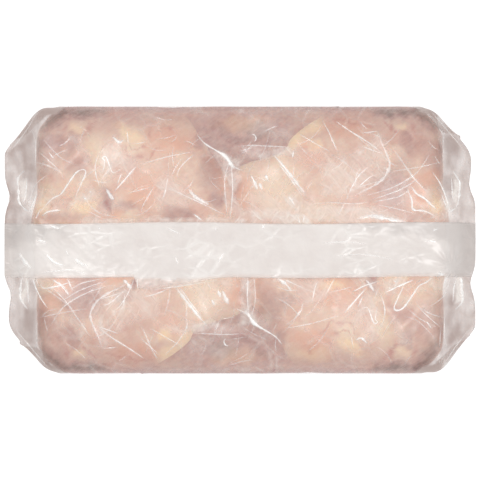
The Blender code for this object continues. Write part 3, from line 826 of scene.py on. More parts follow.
def polygon_share(corners, softness, x, y):
    """1 inside a shape with these corners, 0 outside it, with an edge this soft."""
    away = distance_to(list(corners) + [corners[0]], x, y)[0]
    inside = np.zeros(np.shape(x), dtype=bool)
    for (ax, ay), (bx, by) in zip(corners, corners[1:] + corners[:1]):
        if ay == by:
            continue
        crosses = (y < ay) != (y < by)
        inside ^= crosses & (x < ax + (y - ay) * (bx - ax) / (by - ay))
    signed = np.where(inside, -away, away)
    return 1.0 - smoothstep(-softness, softness * 0.5, signed)


def facet_sum(facets, x, y):
    """What facets add up to at places in millimetres."""
    total = np.zeros(np.shape(x))
    for facet in facets:
        total += facet.milk * polygon_share(facet.corners, facet.softness, x, y)
    return total


# Meshes


def add_attribute(mesh, name, values):
    """Stores a value for each vertex, for the materials."""
    layer = mesh.attributes.new(name, "FLOAT", "POINT")
    layer.data.foreach_set("value", np.asarray(values, dtype=np.float32))


def coordinates(mesh):
    """The mesh's vertices as three arrays."""
    flat = np.empty(3 * len(mesh.vertices))
    mesh.vertices.foreach_get("co", flat)
    return flat.reshape(-1, 3).T


def place_vertices(mesh, x, y, z):
    """Moves the mesh's vertices to these places."""
    mesh.vertices.foreach_set("co", np.stack((x, y, z), axis=1).ravel())
    mesh.update()


def flat_grid(name, divisions, size):
    """A mesh of one flat grid with these divisions along and across."""
    form = bmesh.new()
    bmesh.ops.create_grid(form, x_segments=divisions[0], y_segments=divisions[1], size=size)
    mesh = bpy.data.meshes.new(name)
    form.to_mesh(mesh)
    form.free()
    return mesh


def finished(name, mesh, material, slot, replaces=None):
    """Links a mesh as a piece of the pack. Film of any kind casts no shadow."""
    mesh.shade_smooth()
    mesh.materials.append(material)
    piece = bpy.data.objects.new(name, mesh)
    piece.visible_shadow = slot == "raw_chicken"
    bpy.context.scene.collection.objects.link(piece)
    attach(piece, "root")
    if replaces:
        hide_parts(replaces)
    return piece


def smooth_path(points, step):
    """Places every step along a curve through points, with the curve's direction at each."""
    padded = [points[0]] + list(points) + [points[-1]]
    places = []
    for before, start, end, after in zip(padded, padded[1:], padded[2:], padded[3:]):
        before, start, end, after = (np.array(point) for point in (before, start, end, after))
        count = max(1, round(float(np.hypot(*(end - start))) / step))
        for index in range(count):
            t = index / count
            bend = 2.0 * before - 5.0 * start + 4.0 * end - after
            twist = 3.0 * start - before - 3.0 * end + after
            places.append(start + 0.5 * t * ((end - before) + t * (bend + t * twist)))
    places.append(np.array(points[-1]))
    places = np.array(places)
    directions = np.gradient(places, axis=0)
    return places, directions / np.maximum(1e-9, np.hypot(directions[:, 0], directions[:, 1]))[:, None]


# Materials


def put(tree, socket, value):
    """Links a socket to another, or gives it a plain value."""
    if isinstance(value, bpy.types.NodeSocket):
        tree.links.new(value, socket)
    elif isinstance(value, (tuple, list)) and len(value) == 3 and socket.type == "RGBA":
        socket.default_value = (*value, 1.0)
    else:
        socket.default_value = value


def maths(tree, operation, *values, clamp=False):
    """The result of a Math node."""
    node = tree.nodes.new("ShaderNodeMath")
    node.operation = operation
    node.use_clamp = clamp
    for socket, value in zip(node.inputs, values):
        put(tree, socket, value)
    return node.outputs[0]


def mix_colour(tree, share, first, second):
    """A mix of two colours. A Mix node's colour inputs are 6 and 7, and its colour output is 2."""
    node = tree.nodes.new("ShaderNodeMix")
    node.data_type = "RGBA"
    put(tree, node.inputs[0], share)
    put(tree, node.inputs[6], first)
    put(tree, node.inputs[7], second)
    return node.outputs[2]


def remap(tree, value, low, high, new_low, new_high):
    """A value moved from one range to another and kept within it."""
    node = tree.nodes.new("ShaderNodeMapRange")
    for socket, entry in zip(node.inputs, (value, low, high, new_low, new_high)):
        put(tree, socket, entry)
    return node.outputs[0]


def noise_texture(tree, vector, scale, detail=2.0, roughness=0.5, distortion=0.0):
    node = tree.nodes.new("ShaderNodeTexNoise")
    put(tree, node.inputs["Vector"], vector)
    node.inputs["Scale"].default_value = scale
    node.inputs["Detail"].default_value = detail
    node.inputs["Roughness"].default_value = roughness
    node.inputs["Distortion"].default_value = distortion
    return node


def stretched(tree, vector, scale, turn=0.0):
    """Stretches a pattern by scale along its own axes, which are turned by some degrees."""
    node = tree.nodes.new("ShaderNodeMapping")
    node.vector_type = "TEXTURE"
    put(tree, node.inputs["Vector"], vector)
    node.inputs["Scale"].default_value = scale
    node.inputs["Rotation"].default_value = (0.0, 0.0, math.radians(turn))
    return node.outputs[0]


def attribute(tree, name):
    node = tree.nodes.new("ShaderNodeAttribute")
    node.attribute_name = name
    return node.outputs["Fac"]


def new_material(name):
    """An empty material, with its tree, its output and the place of each shaded point."""
    material = bpy.data.materials.new(name)
    material.use_nodes = True
    tree = material.node_tree
    tree.nodes.clear()
    output = tree.nodes.new("ShaderNodeOutputMaterial")
    place = tree.nodes.new("ShaderNodeTexCoord").outputs["Object"]
    return material, tree, output, place


def crinkle_group():
    """Node group: fine straight folds of film, as a mask of lines and a height."""
    group = bpy.data.node_groups.get("fine film folds")
    if group:
        return group
    group = bpy.data.node_groups.new("fine film folds", "ShaderNodeTree")
    group.interface.new_socket("Place", in_out="INPUT", socket_type="NodeSocketVector")
    group.interface.new_socket("Scale", in_out="INPUT", socket_type="NodeSocketFloat")
    group.interface.new_socket("Thinness", in_out="INPUT", socket_type="NodeSocketFloat")
    group.interface.new_socket("Lines", in_out="OUTPUT", socket_type="NodeSocketFloat")
    group.interface.new_socket("Height", in_out="OUTPUT", socket_type="NodeSocketFloat")
    entry = group.nodes.new("NodeGroupInput")
    leave = group.nodes.new("NodeGroupOutput")
    cells = group.nodes.new("ShaderNodeTexVoronoi")
    cells.feature = "DISTANCE_TO_EDGE"
    put(group, cells.inputs["Vector"], entry.outputs["Place"])
    put(group, cells.inputs["Scale"], entry.outputs["Scale"])
    edge = maths(group, "MULTIPLY", cells.outputs["Distance"], entry.outputs["Thinness"])
    line = maths(group, "SUBTRACT", 1.0, edge, clamp=True)
    patchy = noise_texture(group, entry.outputs["Place"], 45.0, 1.0)
    shown = remap(group, patchy.outputs["Fac"], 0.47, 0.62, 0.0, 1.0)
    soft = noise_texture(group, entry.outputs["Place"], 220.0, 2.0)
    lines = maths(group, "MULTIPLY", line, shown)
    put(group, leave.inputs["Lines"], lines)
    put(group, leave.inputs["Height"], maths(group, "MULTIPLY_ADD", soft.outputs["Fac"], 0.6, lines))
    return group


def crinkle(tree, place, scale, thinness):
    node = tree.nodes.new("ShaderNodeGroup")
    node.node_tree = crinkle_group()
    put(tree, node.inputs["Place"], place)
    put(tree, node.inputs["Scale"], scale)
    put(tree, node.inputs["Thinness"], thinness)
    return node


def bump(tree, height, distance, strength=1.0):
    node = tree.nodes.new("ShaderNodeBump")
    node.inputs["Strength"].default_value = strength
    node.inputs["Distance"].default_value = distance
    put(tree, node.inputs["Height"], height)
    return node.outputs[0]


def principled(tree, colour, roughness, normal=None):
    node = tree.nodes.new("ShaderNodeBsdfPrincipled")
    put(tree, node.inputs["Base Color"], colour)
    put(tree, node.inputs["Roughness"], roughness)
    if normal is not None:
        put(tree, node.inputs["Normal"], normal)
    return node


def glossy_over(tree, output, body, solidity, normal, roughness, shine):
    """Lays a thin film's reflection over a body that is only as solid as solidity says."""
    clear = tree.nodes.new("ShaderNodeBsdfTransparent")
    film = tree.nodes.new("ShaderNodeMixShader")
    put(tree, film.inputs[0], solidity)
    put(tree, film.inputs[1], clear.outputs[0])
    put(tree, film.inputs[2], body.outputs[0])
    mirror = tree.nodes.new("ShaderNodeBsdfGlossy")
    mirror.inputs["Roughness"].default_value = roughness
    put(tree, mirror.inputs["Normal"], normal)
    fresnel = tree.nodes.new("ShaderNodeFresnel")
    fresnel.inputs["IOR"].default_value = 1.5
    put(tree, fresnel.inputs["Normal"], normal)
    both = tree.nodes.new("ShaderNodeMixShader")
    mirrored = maths(tree, "MULTIPLY", fresnel.outputs[0], shine)
    put(tree, both.inputs[0], maths(tree, "MINIMUM", mirrored, MOST_MIRRORED))
    put(tree, both.inputs[1], film.outputs[0])
    put(tree, both.inputs[2], mirror.outputs[0])
    put(tree, output.inputs["Surface"], both.outputs[0])


def film_material(settings):
    """Clear film: milky where it is creased or doubled, with painted sheen on hazy facets and ridges; grey
    where it turns away and past the meat, partly as painted shade and reflection; glossy all over.
    """
    material, tree, output, place = new_material("clear_film")
    folds = crinkle(tree, stretched(tree, place, (1.0, 1.8, 1.0), 38.0), 95.0, 9.0)
    rising = noise_texture(tree, stretched(tree, place, (3.5, 1.0, 1.0), 57.0), 210.0, 3.0, distortion=1.2)
    falling = noise_texture(tree, stretched(tree, place, (3.0, 1.0, 1.0), -41.0), 160.0, 3.0, distortion=1.2)
    most = maths(tree, "MAXIMUM", rising.outputs["Fac"], falling.outputs["Fac"])
    streaks = remap(tree, most, 0.45, 0.75, 0.7, 1.5)
    milk = maths(tree, "MULTIPLY", attribute(tree, "milk"), streaks)
    grey = attribute(tree, "grey")
    lines = maths(tree, "MULTIPLY", folds.outputs["Lines"], 0.16)
    # Film seen edge on greys: partly its greater depth, partly painted reflection of dark surroundings
    facing = tree.nodes.new("ShaderNodeLayerWeight")
    facing.inputs["Blend"].default_value = 0.35
    edge_on_shade = remap(tree, facing.outputs["Facing"], 0.7, 1.0, 0.0, 0.09)
    shade = maths(tree, "ADD", grey, edge_on_shade)
    white = maths(tree, "ADD", milk, lines)
    solidity = maths(tree, "ADD", white, shade, clamp=True)
    share = maths(tree, "DIVIDE", shade, maths(tree, "ADD", maths(tree, "ADD", white, shade), 0.001))
    colour = mix_colour(tree, share, tuple(settings.veil_colour), tuple(settings.shade_colour))
    normal = bump(tree, folds.outputs["Height"], 0.00025, 0.45)
    body = principled(tree, colour, 0.45, normal)
    smooth = tree.nodes.new("ShaderNodeNewGeometry").outputs["Normal"]
    glossy_over(tree, output, body, solidity, smooth, 0.3, 1.2)
    return material


def crease_material(settings):
    """Folded film: white where it is sharply creased, partly as a painted glint, and fading out along each
    crease.
    """
    material, tree, output, place = new_material("creased_film_and_glints")
    speckle = noise_texture(tree, place, 900.0, 1.0).outputs["Fac"]
    white = attribute(tree, "white")
    broken = remap(tree, speckle, 0.3, 0.6, 0.75, 1.0)
    solidity = maths(tree, "MULTIPLY", white, broken, clamp=True)
    normal = bump(tree, speckle, 0.0001, 0.3)
    body = principled(tree, tuple(settings.crease_and_glint_colour), 0.3, normal)
    body.inputs["Specular IOR Level"].default_value = 1.0
    glossy_over(tree, output, body, solidity, normal, 0.2, 1.0)
    return material


def seam_material(settings):
    """Doubled film of the seam: milky, mottled and finely crinkled, with painted sheen where it glows,
    clearer and greyer at its ends.
    """
    material, tree, output, place = new_material("milky_seam_film")
    folds = crinkle(tree, stretched(tree, place, (1.7, 1.0, 1.0), 12.0), 150.0, 6.0)
    cloud = noise_texture(tree, place, 70.0, 3.0).outputs["Fac"]
    milk = attribute(tree, "milk")
    clouded = maths(tree, "ADD", remap(tree, cloud, 0.35, 0.75, 0.0, 0.7), attribute(tree, "glow"))
    mottled = maths(tree, "ADD", clouded, folds.outputs["Lines"], clamp=True)
    tone = mix_colour(tree, mottled, tuple(settings.seam_colour), tuple(settings.seam_pale))
    colour = mix_colour(tree, milk, tuple(settings.seam_end_colour), tone)
    solidity = attribute(tree, "solidity")
    normal = bump(tree, folds.outputs["Height"], 0.0004, 0.8)
    body = principled(tree, colour, 0.4, normal)
    glossy_over(tree, output, body, solidity, normal, 0.25, 1.0)
    return material


def meat_material(settings):
    """Raw breast: pale pink with salmon, fat, purplish painted shade and blood where the mesh says, finely
    grained and wet.
    """
    material, tree, output, place = new_material("raw_chicken")
    broad = noise_texture(tree, place, 55.0, 4.0, 0.6).outputs["Fac"]
    fine = noise_texture(tree, place, 320.0, 3.0).outputs["Fac"]
    fibres = stretched(tree, place, (7.0, 1.0, 3.0), GRAIN_TURN)
    grain = noise_texture(tree, fibres, 700.0, 2.0, distortion=0.5).outputs["Fac"]
    pale = remap(tree, maths(tree, "MULTIPLY_ADD", fine, 0.35, broad), 0.55, 0.82, 0.0, 1.0)
    colour = mix_colour(tree, pale, tuple(settings.base_colour), tuple(settings.pale_colour))
    uneven = remap(tree, fine, 0.35, 0.65, 0.75, 1.1)
    for kind in MEAT_KINDS:
        share = maths(tree, "MULTIPLY", attribute(tree, kind), uneven, clamp=True)
        colour = mix_colour(tree, share, colour, tuple(getattr(settings, kind + "_colour")))
    streak = remap(tree, grain, 0.4, 0.7, 0.0, 0.13)
    colour = mix_colour(tree, streak, colour, tuple(settings.grain_colour))
    height = maths(tree, "MULTIPLY_ADD", grain, 0.5, fine)
    normal = bump(tree, height, 0.0004, 0.4)
    body = principled(tree, colour, 0.6, normal)
    body.inputs["Specular IOR Level"].default_value = 0.35
    body.inputs["Subsurface Weight"].default_value = 0.12
    body.inputs["Subsurface Radius"].default_value = (1.0, 0.35, 0.2)
    body.inputs["Subsurface Scale"].default_value = 0.004
    put(tree, output.inputs["Surface"], body.outputs[0])
    return material


# Pieces of the pack


def patch_strength(patch, x, y, side):
    """How strongly a patch of colour is felt at places in millimetres, mirrored where side is -1."""
    turn = math.radians(patch.turn)
    dx = x - side * patch.middle[0]
    dy = y - patch.middle[1]
    along = (dx * math.cos(turn) + side * dy * math.sin(turn)) / patch.half_sizes[0]
    across = (dy * math.cos(turn) - side * dx * math.sin(turn)) / patch.half_sizes[1]
    return patch.strength * (1.0 - smoothstep(0.4, 1.4, np.hypot(along, across)))


def colour_meat(mesh, x, y, z, cut, own_patches):
    """Stores how much of each kind of colour the meat has at each vertex."""
    warp_x = x / MM + 3.0 * noise_at(x, y, 0.008, 21.0) + 1.2 * noise_at(x, y, 0.0025, 23.0)
    warp_y = y / MM + 3.0 * noise_at(x, y, 0.008, 22.0) + 1.2 * noise_at(x, y, 0.0025, 24.0)
    kinds = {kind: np.zeros(len(x)) for kind in MEAT_KINDS}
    sided = [(patch, 1.0) for patch in cut.patches + own_patches]
    if cut.end_side:
        sided += [(patch, cut.end_side) for patch in END_PATCHES]
    for patch, side in sided:
        kinds[patch.kind] = np.maximum(kinds[patch.kind], patch_strength(patch, warp_x, warp_y, side))
    for vein in cut.veins:
        away = distance_to(vein.points, warp_x, warp_y)[0] / vein.half_width
        kinds[vein.kind] = np.maximum(kinds[vein.kind], vein.strength * np.exp(-away * away))
    side_shade = np.maximum(0.65 * smoothstep(54.0, 85.0, y / MM), smoothstep(75.0, 85.0, y / MM))
    kinds["shaded_meat"] = np.maximum(kinds["shaded_meat"], side_shade)
    # The deepest painted shade fades out down the meat's sides
    kinds["deep_shade"] = kinds["deep_shade"] * smoothstep(MEAT_RIM, MEAT_RIM + DARK_FADE, z)
    for kind, values in kinds.items():
        add_attribute(mesh, kind, values)
    return kinds


def breast_form(breast, settings, depth):
    """A ball spread over the breast's outline and pressed up against the film."""
    form = bmesh.new()
    bmesh.ops.create_uvsphere(form, u_segments=MEAT_DIVISIONS[0], v_segments=MEAT_DIVISIONS[1], radius=1.0)
    mesh = bpy.data.meshes.new("breast")
    form.to_mesh(mesh)
    form.free()
    ball_x, ball_y, ball_z = coordinates(mesh)
    middle = np.array(breast.middle, dtype=float)
    outline = smooth_path(list(breast.outline) + [breast.outline[0]], 1.0)[0][:-1] - middle
    bearings = np.arctan2(outline[:, 1], outline[:, 0])
    order = np.argsort(bearings)
    reaches = np.hypot(outline[:, 0], outline[:, 1])[order]
    bearing = np.arctan2(ball_y, ball_x)
    reach = np.interp(bearing, bearings[order], reaches, period=2.0 * math.pi)
    radius = np.arccos(np.clip(np.abs(ball_z), 0.0, 1.0)) * 2.0 / math.pi
    x = (middle[0] + radius * reach * np.cos(bearing)) * MM
    y = (middle[1] + radius * reach * np.sin(bearing)) * MM
    ceiling, v, along = film_height(x, y)
    swell = np.sqrt(np.clip(1.0 - radius**MEAT_SWELL, 0.0, 1.0))
    lumps = 0.0008 * noise_at(x, y, 0.013, 31.0) + 0.0004 * noise_at(x, y, 0.005, 33.0)
    top = MEAT_RIM + (ceiling - settings.clearance - depth + lumps - MEAT_RIM) * swell
    top = np.minimum(top, ceiling - settings.clearance)
    bottom = np.maximum(MEAT_RIM * (1.0 - swell), under_height(v, along) + settings.clearance)
    z = np.where(ball_z >= -1e-6, top, np.minimum(bottom, MEAT_RIM))
    return mesh, x, y, z


def make_cut(cut, settings, material):
    """One piece of meat on the half of the pack toward +Y, and the same turned half round on the other."""
    form, x, y, z = breast_form(cut.breast, settings, cut.depth)
    for place, half, own_patches in (("back", 1.0, cut.back_patches), ("front", -1.0, cut.front_patches)):
        mesh = form.copy()
        mesh.name = f"{cut.name}_{place}"
        kinds = colour_meat(mesh, x, y, z, cut, own_patches)
        carved = MAUVE_DEPTH * kinds["shaded_meat"] + BLOOD_DEPTH * kinds["blood"]
        place_vertices(mesh, half * x, half * y, np.where(z > MEAT_RIM, z - carved, z))
        finished(mesh.name, mesh, material, "raw_chicken")
    bpy.data.meshes.remove(form)


def film_milk(x, y, settings):
    """How milky the film is at places on the back, with painted sheen on its facets, beside its creases and
    on its ridges.
    """
    mx = x / MM + 3.0 * noise_at(x, y, 0.012, 43.0) + 1.2 * noise_at(x, y, 0.004, 44.0)
    my = y / MM + 3.0 * noise_at(x, y, 0.012, 45.0) + 1.2 * noise_at(x, y, 0.004, 46.0)
    milk = settings.clear_veil + 0.05 * noise_at(x, y, 0.02, 41.0)
    for half in (1.0, -1.0):
        milk = milk + facet_sum(MILK_AND_SHEEN_FACETS, half * mx, half * my)
        for crease in LEFT_CREASES + RIGHT_CREASES:
            away, share = distance_to(crease.points, half * mx, half * my)
            taper = np.sin(math.pi * np.clip(share, 0.05, 0.95))
            milk = milk + 0.16 * crease.white * crease.width * np.exp(-away / 1.6) * taper
    # Ridges of the crumpling are whitened as a painted highlight
    sharp = np.clip((wrinkle(x, y, 1.0) - 0.15) / 0.5, 0.0, 1.0)
    return np.clip(milk + 0.08 * sharp, 0.02, 0.9)


def film_grey_and_shade(x, y, milk):
    """How grey the film is, its own dullness together with painted shade and painted reflection: where it has
    no meat behind it, unevenly, and less so where it is milky.
    """
    set_back = GREY_SET_BACK * (1.0 - smoothstep(SET_BACK_FULL, SET_BACK_END, np.abs(y)))
    past_end = smoothstep(GREY_START, GREY_FULL, np.abs(x) - set_back)
    past_corner = smoothstep(CORNER_GREY_START, CORNER_GREY_FULL, np.abs(x) + np.abs(y))
    uneven = 0.40 * noise_at(x, y, 0.014, 47.0) + 0.25 * noise_at(x, 0.5 * y, 0.004, 48.0)
    uneven = uneven + facet_sum(END_PAINTED_SHADES, x / MM, y / MM)
    uneven = uneven + facet_sum(FLAP_PAINTED_SHADES, np.abs(x) / MM, np.abs(y) / MM)
    hidden = np.clip(1.6 * (milk - 0.15), 0.0, 0.9)
    return (GREY + uneven) * np.maximum(past_end, past_corner) * (1.0 - hidden)


def make_film(settings):
    """Two sheets of film, over the meat and under it, wrapped to the pack's form and welded at their edge."""
    form = bmesh.new()
    bmesh.ops.create_grid(form, x_segments=FILM_RINGS, y_segments=FILM_STRIPS, size=1.0)
    back_count = len(form.verts)
    bmesh.ops.create_grid(form, x_segments=FILM_RINGS, y_segments=UNDER_STRIPS, size=1.0)
    mesh = bpy.data.meshes.new("pack_film")
    form.to_mesh(mesh)
    form.free()
    u, w, _ = coordinates(mesh)
    is_back = np.arange(len(u)) < back_count
    lane = (w + 1.0) / 2.0 * LANES
    x, y, z, v, along = film_places(np.clip(u, -1.0, 1.0), lane, is_back)
    z = z + film_relief(x, y, v, along, settings) * is_back
    place_vertices(mesh, x, y, z)
    milk = film_milk(x, y, settings)
    add_attribute(mesh, "milk", np.where(is_back, milk, UNDER_MILK))
    # Its grey is partly painted shade and painted reflection
    add_attribute(mesh, "grey", np.where(is_back, film_grey_and_shade(x, y, milk), UNDER_GREY))
    weld = bmesh.new()
    weld.from_mesh(mesh)
    bmesh.ops.remove_doubles(weld, verts=weld.verts, dist=WELD_DISTANCE)
    bmesh.ops.recalc_face_normals(weld, faces=weld.faces)
    weld.to_mesh(mesh)
    weld.free()
    return finished("pack_film", mesh, film_material(settings), "clear_film", "film_pack")


def fine_creases():
    """Short faint creases scattered over the back, the same on each run."""
    draw = random.Random(FINE_CREASE_SEED)
    creases = []
    while len(creases) < FINE_CREASES:
        x = draw.uniform(-FINE_REACH, FINE_REACH)
        y = draw.uniform(FINE_INNER, FINE_OUTER) * draw.choice((1, -1))
        turn = math.radians(draw.choice(FINE_BEARINGS) + draw.gauss(0, FINE_SPREAD))
        length = draw.uniform(*FINE_LENGTHS)
        bend = draw.uniform(-FINE_BEND, FINE_BEND) * length
        end = (x + length * math.cos(turn), y + length * math.sin(turn))
        half = ((x + end[0]) / 2 - bend * math.sin(turn), (y + end[1]) / 2 + bend * math.cos(turn))
        width = draw.uniform(*FINE_WIDTHS)
        white = draw.uniform(*FINE_WHITES)
        if abs(end[0]) < FINE_REACH and FINE_INNER < abs(end[1]) < FINE_OUTER and end[1] * y > 0:
            creases.append(Crease(width, white, ((x, y), half, end)))
    return creases


def band_share(x, y):
    """1 under the seam, 0 away from it."""
    front, back = seam_edges(x)
    return smoothstep(-0.002, 0.0, y - front) * smoothstep(-0.001, 0.0005, back - y)


def film_relief(x, y, v, along, settings):
    """What wrinkles and creases add to the smooth film of the back."""
    inner = (1.0 - np.abs(v) ** 6) * (1.0 - smoothstep(0.985 * HALF_LENGTH, HALF_LENGTH, along))
    raised = wrinkle(x, y, settings.crumple) + crease_relief(x, y, settings.crease_height)
    return raised * inner * (1.0 - 0.7 * band_share(x, y))


def make_creases(name, drawn, lift, settings):
    """Each crease is a thin upstanding fold of film, pinched out at both ends, its white partly a
    painted glint.
    """
    places, sides, halves, whites, counts = [], [], [], [], []
    for crease, half in drawn:
        path, direction = smooth_path(turned(crease.points, half), CREASE_STEP * MM)
        taper = np.sqrt(np.sin(math.pi * np.clip(np.linspace(0.0, 1.0, len(path)), 0.004, 0.996)))
        uneven = 1.0 + 0.9 * noise_at(path[:, 0], path[:, 1], 0.0025, 71.0)
        places.append(path)
        sides.append(np.stack((-direction[:, 1], direction[:, 0]), axis=1))
        halves.append(0.5 * (CREASE_SPREAD * crease.width + CREASE_LEAST) * MM * taper * uneven)
        whites.append(np.minimum(1.0, CREASE_WHITENESS * crease.white) * taper)
        counts.append(len(path))
    path, side, half, white = (np.concatenate(part) for part in (places, sides, halves, whites))
    x, y = path[:, 0], path[:, 1]
    base, v, along = film_height(x, y)
    base = base + film_relief(x, y, v, along, settings) + lift
    if not lift:
        white = white * (1.0 - band_share(x, y))
        base = base + CREASE_LIFT * MM
    across = []
    for reach, rise, _ in CREASE_PROFILE:
        out = reach * half
        up = rise * CREASE_HEIGHT * half
        across.append(np.stack((x + out * side[:, 0], y + out * side[:, 1], base + up), axis=1))
    vertices = np.stack(across, axis=1).reshape(-1, 3)
    wide = len(CREASE_PROFILE)
    faces = []
    first = 0
    for count in counts:
        for index in range(first, first + count - 1):
            for lane in range(wide * index, wide * index + wide - 1):
                faces.append((lane, lane + 1, lane + 1 + wide, lane + wide))
        first += count
    mesh = bpy.data.meshes.new(name)
    mesh.from_pydata(vertices.tolist(), [], faces)
    shares = np.array([share for _, _, share in CREASE_PROFILE])
    add_attribute(mesh, "white", (white[:, None] * shares[None, :]).ravel())
    return finished(name, mesh, crease_material(settings), "clear_film")


def seam_milk(x, y):
    """How milky the seam is: clear and grey beyond a slanting line at each end."""
    mx, my = x / MM, y / MM
    left = np.maximum(0.2 * (mx + 139.0) - 1.0 - my, 0.8 * (mx + 112.0))
    right = np.minimum(0.25 * (92.0 - mx) + 1.6 * (6.5 - my), 130.0 - mx)
    ragged = 6.0 * noise_at(x, y, 0.008, 51.0)
    inner = smoothstep(-4.0, 6.0, left + ragged) * smoothstep(-4.0, 6.0, right + ragged)
    return 0.55 * inner + 0.45 * (1.0 - smoothstep(132.0, 147.0, np.abs(mx) + 0.5 * ragged))


def seam_glow(x, y):
    """How pale the seam is, with painted sheen: more so beside its streaks and along its crumpled left part.
    """
    mx, my = x / MM, y / MM
    glow = 0.38 * polygon_share(SEAM_SHEEN_PART.corners, SEAM_SHEEN_PART.softness, mx, my)
    for crease in SEAM_CREASES:
        away = distance_to(crease.points, mx, my)[0]
        glow = glow + 0.5 * crease.white * np.exp(-away / (1.2 * crease.width))
    return np.clip(glow, 0.0, 1.0)


def seam_solidity(x, y):
    """How solid the seam looks: less so along its edges, at its ends and where it is lifted."""
    front, back = seam_edges(x)
    edges = smoothstep(-0.0004, 0.0014, back - y) * smoothstep(-0.0004, 0.0032, y - front)
    plain_front = SEAM_OFFSET - SEAM_WIDTH / 2.0
    lifted = smoothstep(-0.0004, 0.0016, plain_front - y)
    ends = smoothstep(0.136, 0.150, np.abs(x))
    square = polygon_share(BRIGHT_SQUARE.corners, BRIGHT_SQUARE.softness, x / MM, y / MM)
    within = 1.0 - EDGE_LOSS * (1.0 - edges)
    return (SEAM_SOLIDITY - END_LOSS * ends) * within * (1.0 - LIFTED_LOSS * lifted * (1.0 - square))


def make_seam(settings):
    """A sheet laid along the back, crinkled and thickened."""
    mesh = flat_grid("seam_band", SEAM_DIVISIONS, 1.0)
    u, w, _ = coordinates(mesh)
    lane = FRONT_LANES + (w + 1.0) / 2.0 * SEAM_LANES
    x, y, z, _, along = film_places(np.clip(u, -1.0, 1.0), lane, np.ones(len(u), dtype=bool))
    inner = 1.0 - smoothstep(0.985 * HALF_LENGTH, HALF_LENGTH, along)
    ripples = ridged(x + 0.4 * y, y * 0.8, 0.009, 61.0) + 0.6 * ridged(x * 0.8, y + 0.3 * x, 0.0045, 62.0)
    z = z + 0.3 * wrinkle(x, y, settings.crumple) * inner + settings.seam_gap + SEAM_RIPPLE * ripples * inner
    place_vertices(mesh, x, y, z)
    add_attribute(mesh, "milk", seam_milk(x, y))
    add_attribute(mesh, "solidity", seam_solidity(x, y))
    add_attribute(mesh, "glow", seam_glow(x, y))
    band = finished("seam_band", mesh, seam_material(settings), "seam_film", "back_seam")
    solidify = band.modifiers.new("film thickness", "SOLIDIFY")
    solidify.thickness = settings.seam_thickness
    solidify.offset = 1.0
    return band


# The stage


def add_softbox(name, place, size, power):
    """A square light that faces the middle of the pack."""
    data = bpy.data.lights.new(name, "AREA")
    data.shape = "RECTANGLE"
    data.size, data.size_y = size
    data.energy = power
    light = bpy.data.objects.new(name, data)
    light.location = place
    reach = -np.array(place)
    light.rotation_euler = (
        math.atan2(math.hypot(reach[0], reach[1]), -reach[2]),
        0.0,
        math.atan2(reach[1], reach[0]) - math.pi / 2.0,
    )
    bpy.context.scene.collection.objects.link(light)
    return light


def make_stage(settings):
    """A white floor, soft light from all round, two softboxes and a long lens straight above."""
    mesh = flat_grid("floor", (1, 1), 1.5)
    material, tree, output, _ = new_material("white floor")
    body = principled(tree, (0.4, 0.4, 0.4), 0.9)
    body.inputs["Emission Color"].default_value = (1.0, 1.0, 1.0, 1.0)
    body.inputs["Emission Strength"].default_value = settings.floor_glow
    put(tree, output.inputs["Surface"], body.outputs[0])
    mesh.materials.append(material)
    floor = bpy.data.objects.new("floor", mesh)
    floor.location.z = -0.0002
    bpy.context.scene.collection.objects.link(floor)
    world = bpy.data.worlds.new("studio")
    world.use_nodes = True
    world.node_tree.nodes["Background"].inputs["Color"].default_value = (1.0, 1.0, 1.0, 1.0)
    world.node_tree.nodes["Background"].inputs["Strength"].default_value = settings.sky
    bpy.context.scene.world = world
    add_softbox("softbox_left", (-0.42, 0.38, 0.85), (0.45, 0.35), settings.key_power)
    add_softbox("softbox_right", (0.46, -0.30, 0.85), (0.35, 0.45), settings.key_power)
    data = bpy.data.cameras.new("camera")
    data.lens = settings.lens
    data.clip_end = 10.0
    camera = bpy.data.objects.new("camera", data)
    distance = settings.view_width * settings.lens / data.sensor_width
    camera.location = (0.0, 0.0, RIM_HEIGHT + distance)
    bpy.context.scene.collection.objects.link(camera)
    bpy.context.scene.camera = camera
    bpy.context.scene.view_settings.view_transform = "Standard"


# Operators


class PACK_OT_breasts(bpy.types.Operator):
    """Add the sharp creases that stand up from the film, with painted glints along them"""

    bl_idname = "pack.breasts"
    bl_label = "Add Breasts"

    def execute(self, context):
        settings = context.scene.pack_meat
        material = meat_material(settings)
        for cut in CUTS:
            make_cut(cut, settings, material)
        return {"FINISHED"}


class PACK_OT_film(bpy.types.Operator):
    """Add the clear film round the meat"""

    bl_idname = "pack.film"
    bl_label = "Add Film"

    def execute(self, context):
        make_film(context.scene.pack_film)
        return {"FINISHED"}


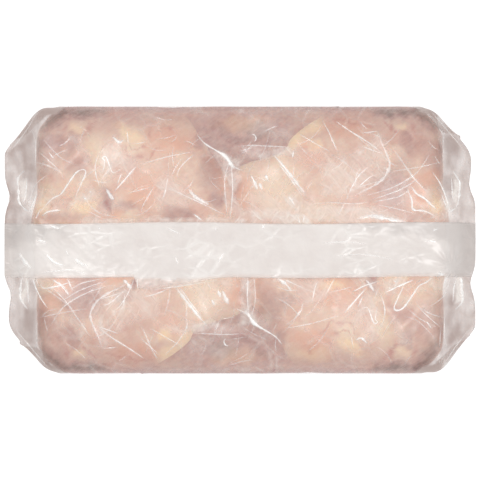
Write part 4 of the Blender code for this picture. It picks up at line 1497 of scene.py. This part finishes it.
class PACK_OT_creases(bpy.types.Operator):
    """Add the sharp creases that stand up from the film"""

    bl_idname = "pack.creases"
    bl_label = "Add Creases"

    def execute(self, context):
        settings = context.scene.pack_film
        drawn = [(crease, half) for half in (1, -1) for crease in LEFT_CREASES + RIGHT_CREASES]
        drawn += [(crease, 1) for crease in fine_creases()]
        make_creases("film_creases_and_glints", drawn, 0.0, settings)
        above_seam = settings.seam_gap + settings.seam_thickness + 2.0 * SEAM_RIPPLE
        drawn = [(crease, 1) for crease in SEAM_CREASES + LIFTED_CREASES]
        make_creases("seam_creases_and_glints", drawn, above_seam, settings)
        return {"FINISHED"}


class PACK_OT_seam(bpy.types.Operator):
    """Add the milky seam along the back"""

    bl_idname = "pack.seam"
    bl_label = "Add Back Seam"

    def execute(self, context):
        make_seam(context.scene.pack_film)
        return {"FINISHED"}


class PACK_OT_stage(bpy.types.Operator):
    """Add the floor, the lights and the camera"""

    bl_idname = "pack.stage"
    bl_label = "Add Stage"

    def execute(self, context):
        make_stage(context.scene.pack_stage)
        return {"FINISHED"}


class PACK_PT_panel(bpy.types.Panel):
    """Lists the pack's pieces and settings in the sidebar."""

    bl_idname = "PACK_PT_panel"
    bl_label = "Chicken Pack"
    bl_space_type = "VIEW_3D"
    bl_region_type = "UI"
    bl_category = "Chicken Pack"

    def draw(self, context):
        layout = self.layout
        for operator in OPERATORS:
            layout.operator(operator.bl_idname)
        for group in (context.scene.pack_film, context.scene.pack_meat, context.scene.pack_stage):
            box = layout.box()
            for name in group.__annotations__:
                box.prop(group, name)


OPERATORS = (PACK_OT_breasts, PACK_OT_film, PACK_OT_creases, PACK_OT_seam, PACK_OT_stage)
CLASSES = (PackFilmSettings, PackMeatSettings, PackStageSettings, *OPERATORS, PACK_PT_panel)


def register():
    for cls in CLASSES:
        bpy.utils.register_class(cls)
    bpy.types.Scene.pack_film = bpy.props.PointerProperty(type=PackFilmSettings)
    bpy.types.Scene.pack_meat = bpy.props.PointerProperty(type=PackMeatSettings)
    bpy.types.Scene.pack_stage = bpy.props.PointerProperty(type=PackStageSettings)


def unregister():
    del bpy.types.Scene.pack_film
    del bpy.types.Scene.pack_meat
    del bpy.types.Scene.pack_stage
    for cls in reversed(CLASSES):
        bpy.utils.unregister_class(cls)


def main():
    register()
    bpy.ops.pack.breasts()
    bpy.ops.pack.film()
    bpy.ops.pack.creases()
    bpy.ops.pack.seam()
    bpy.ops.pack.stage()


if __name__ == "__main__":
    main()
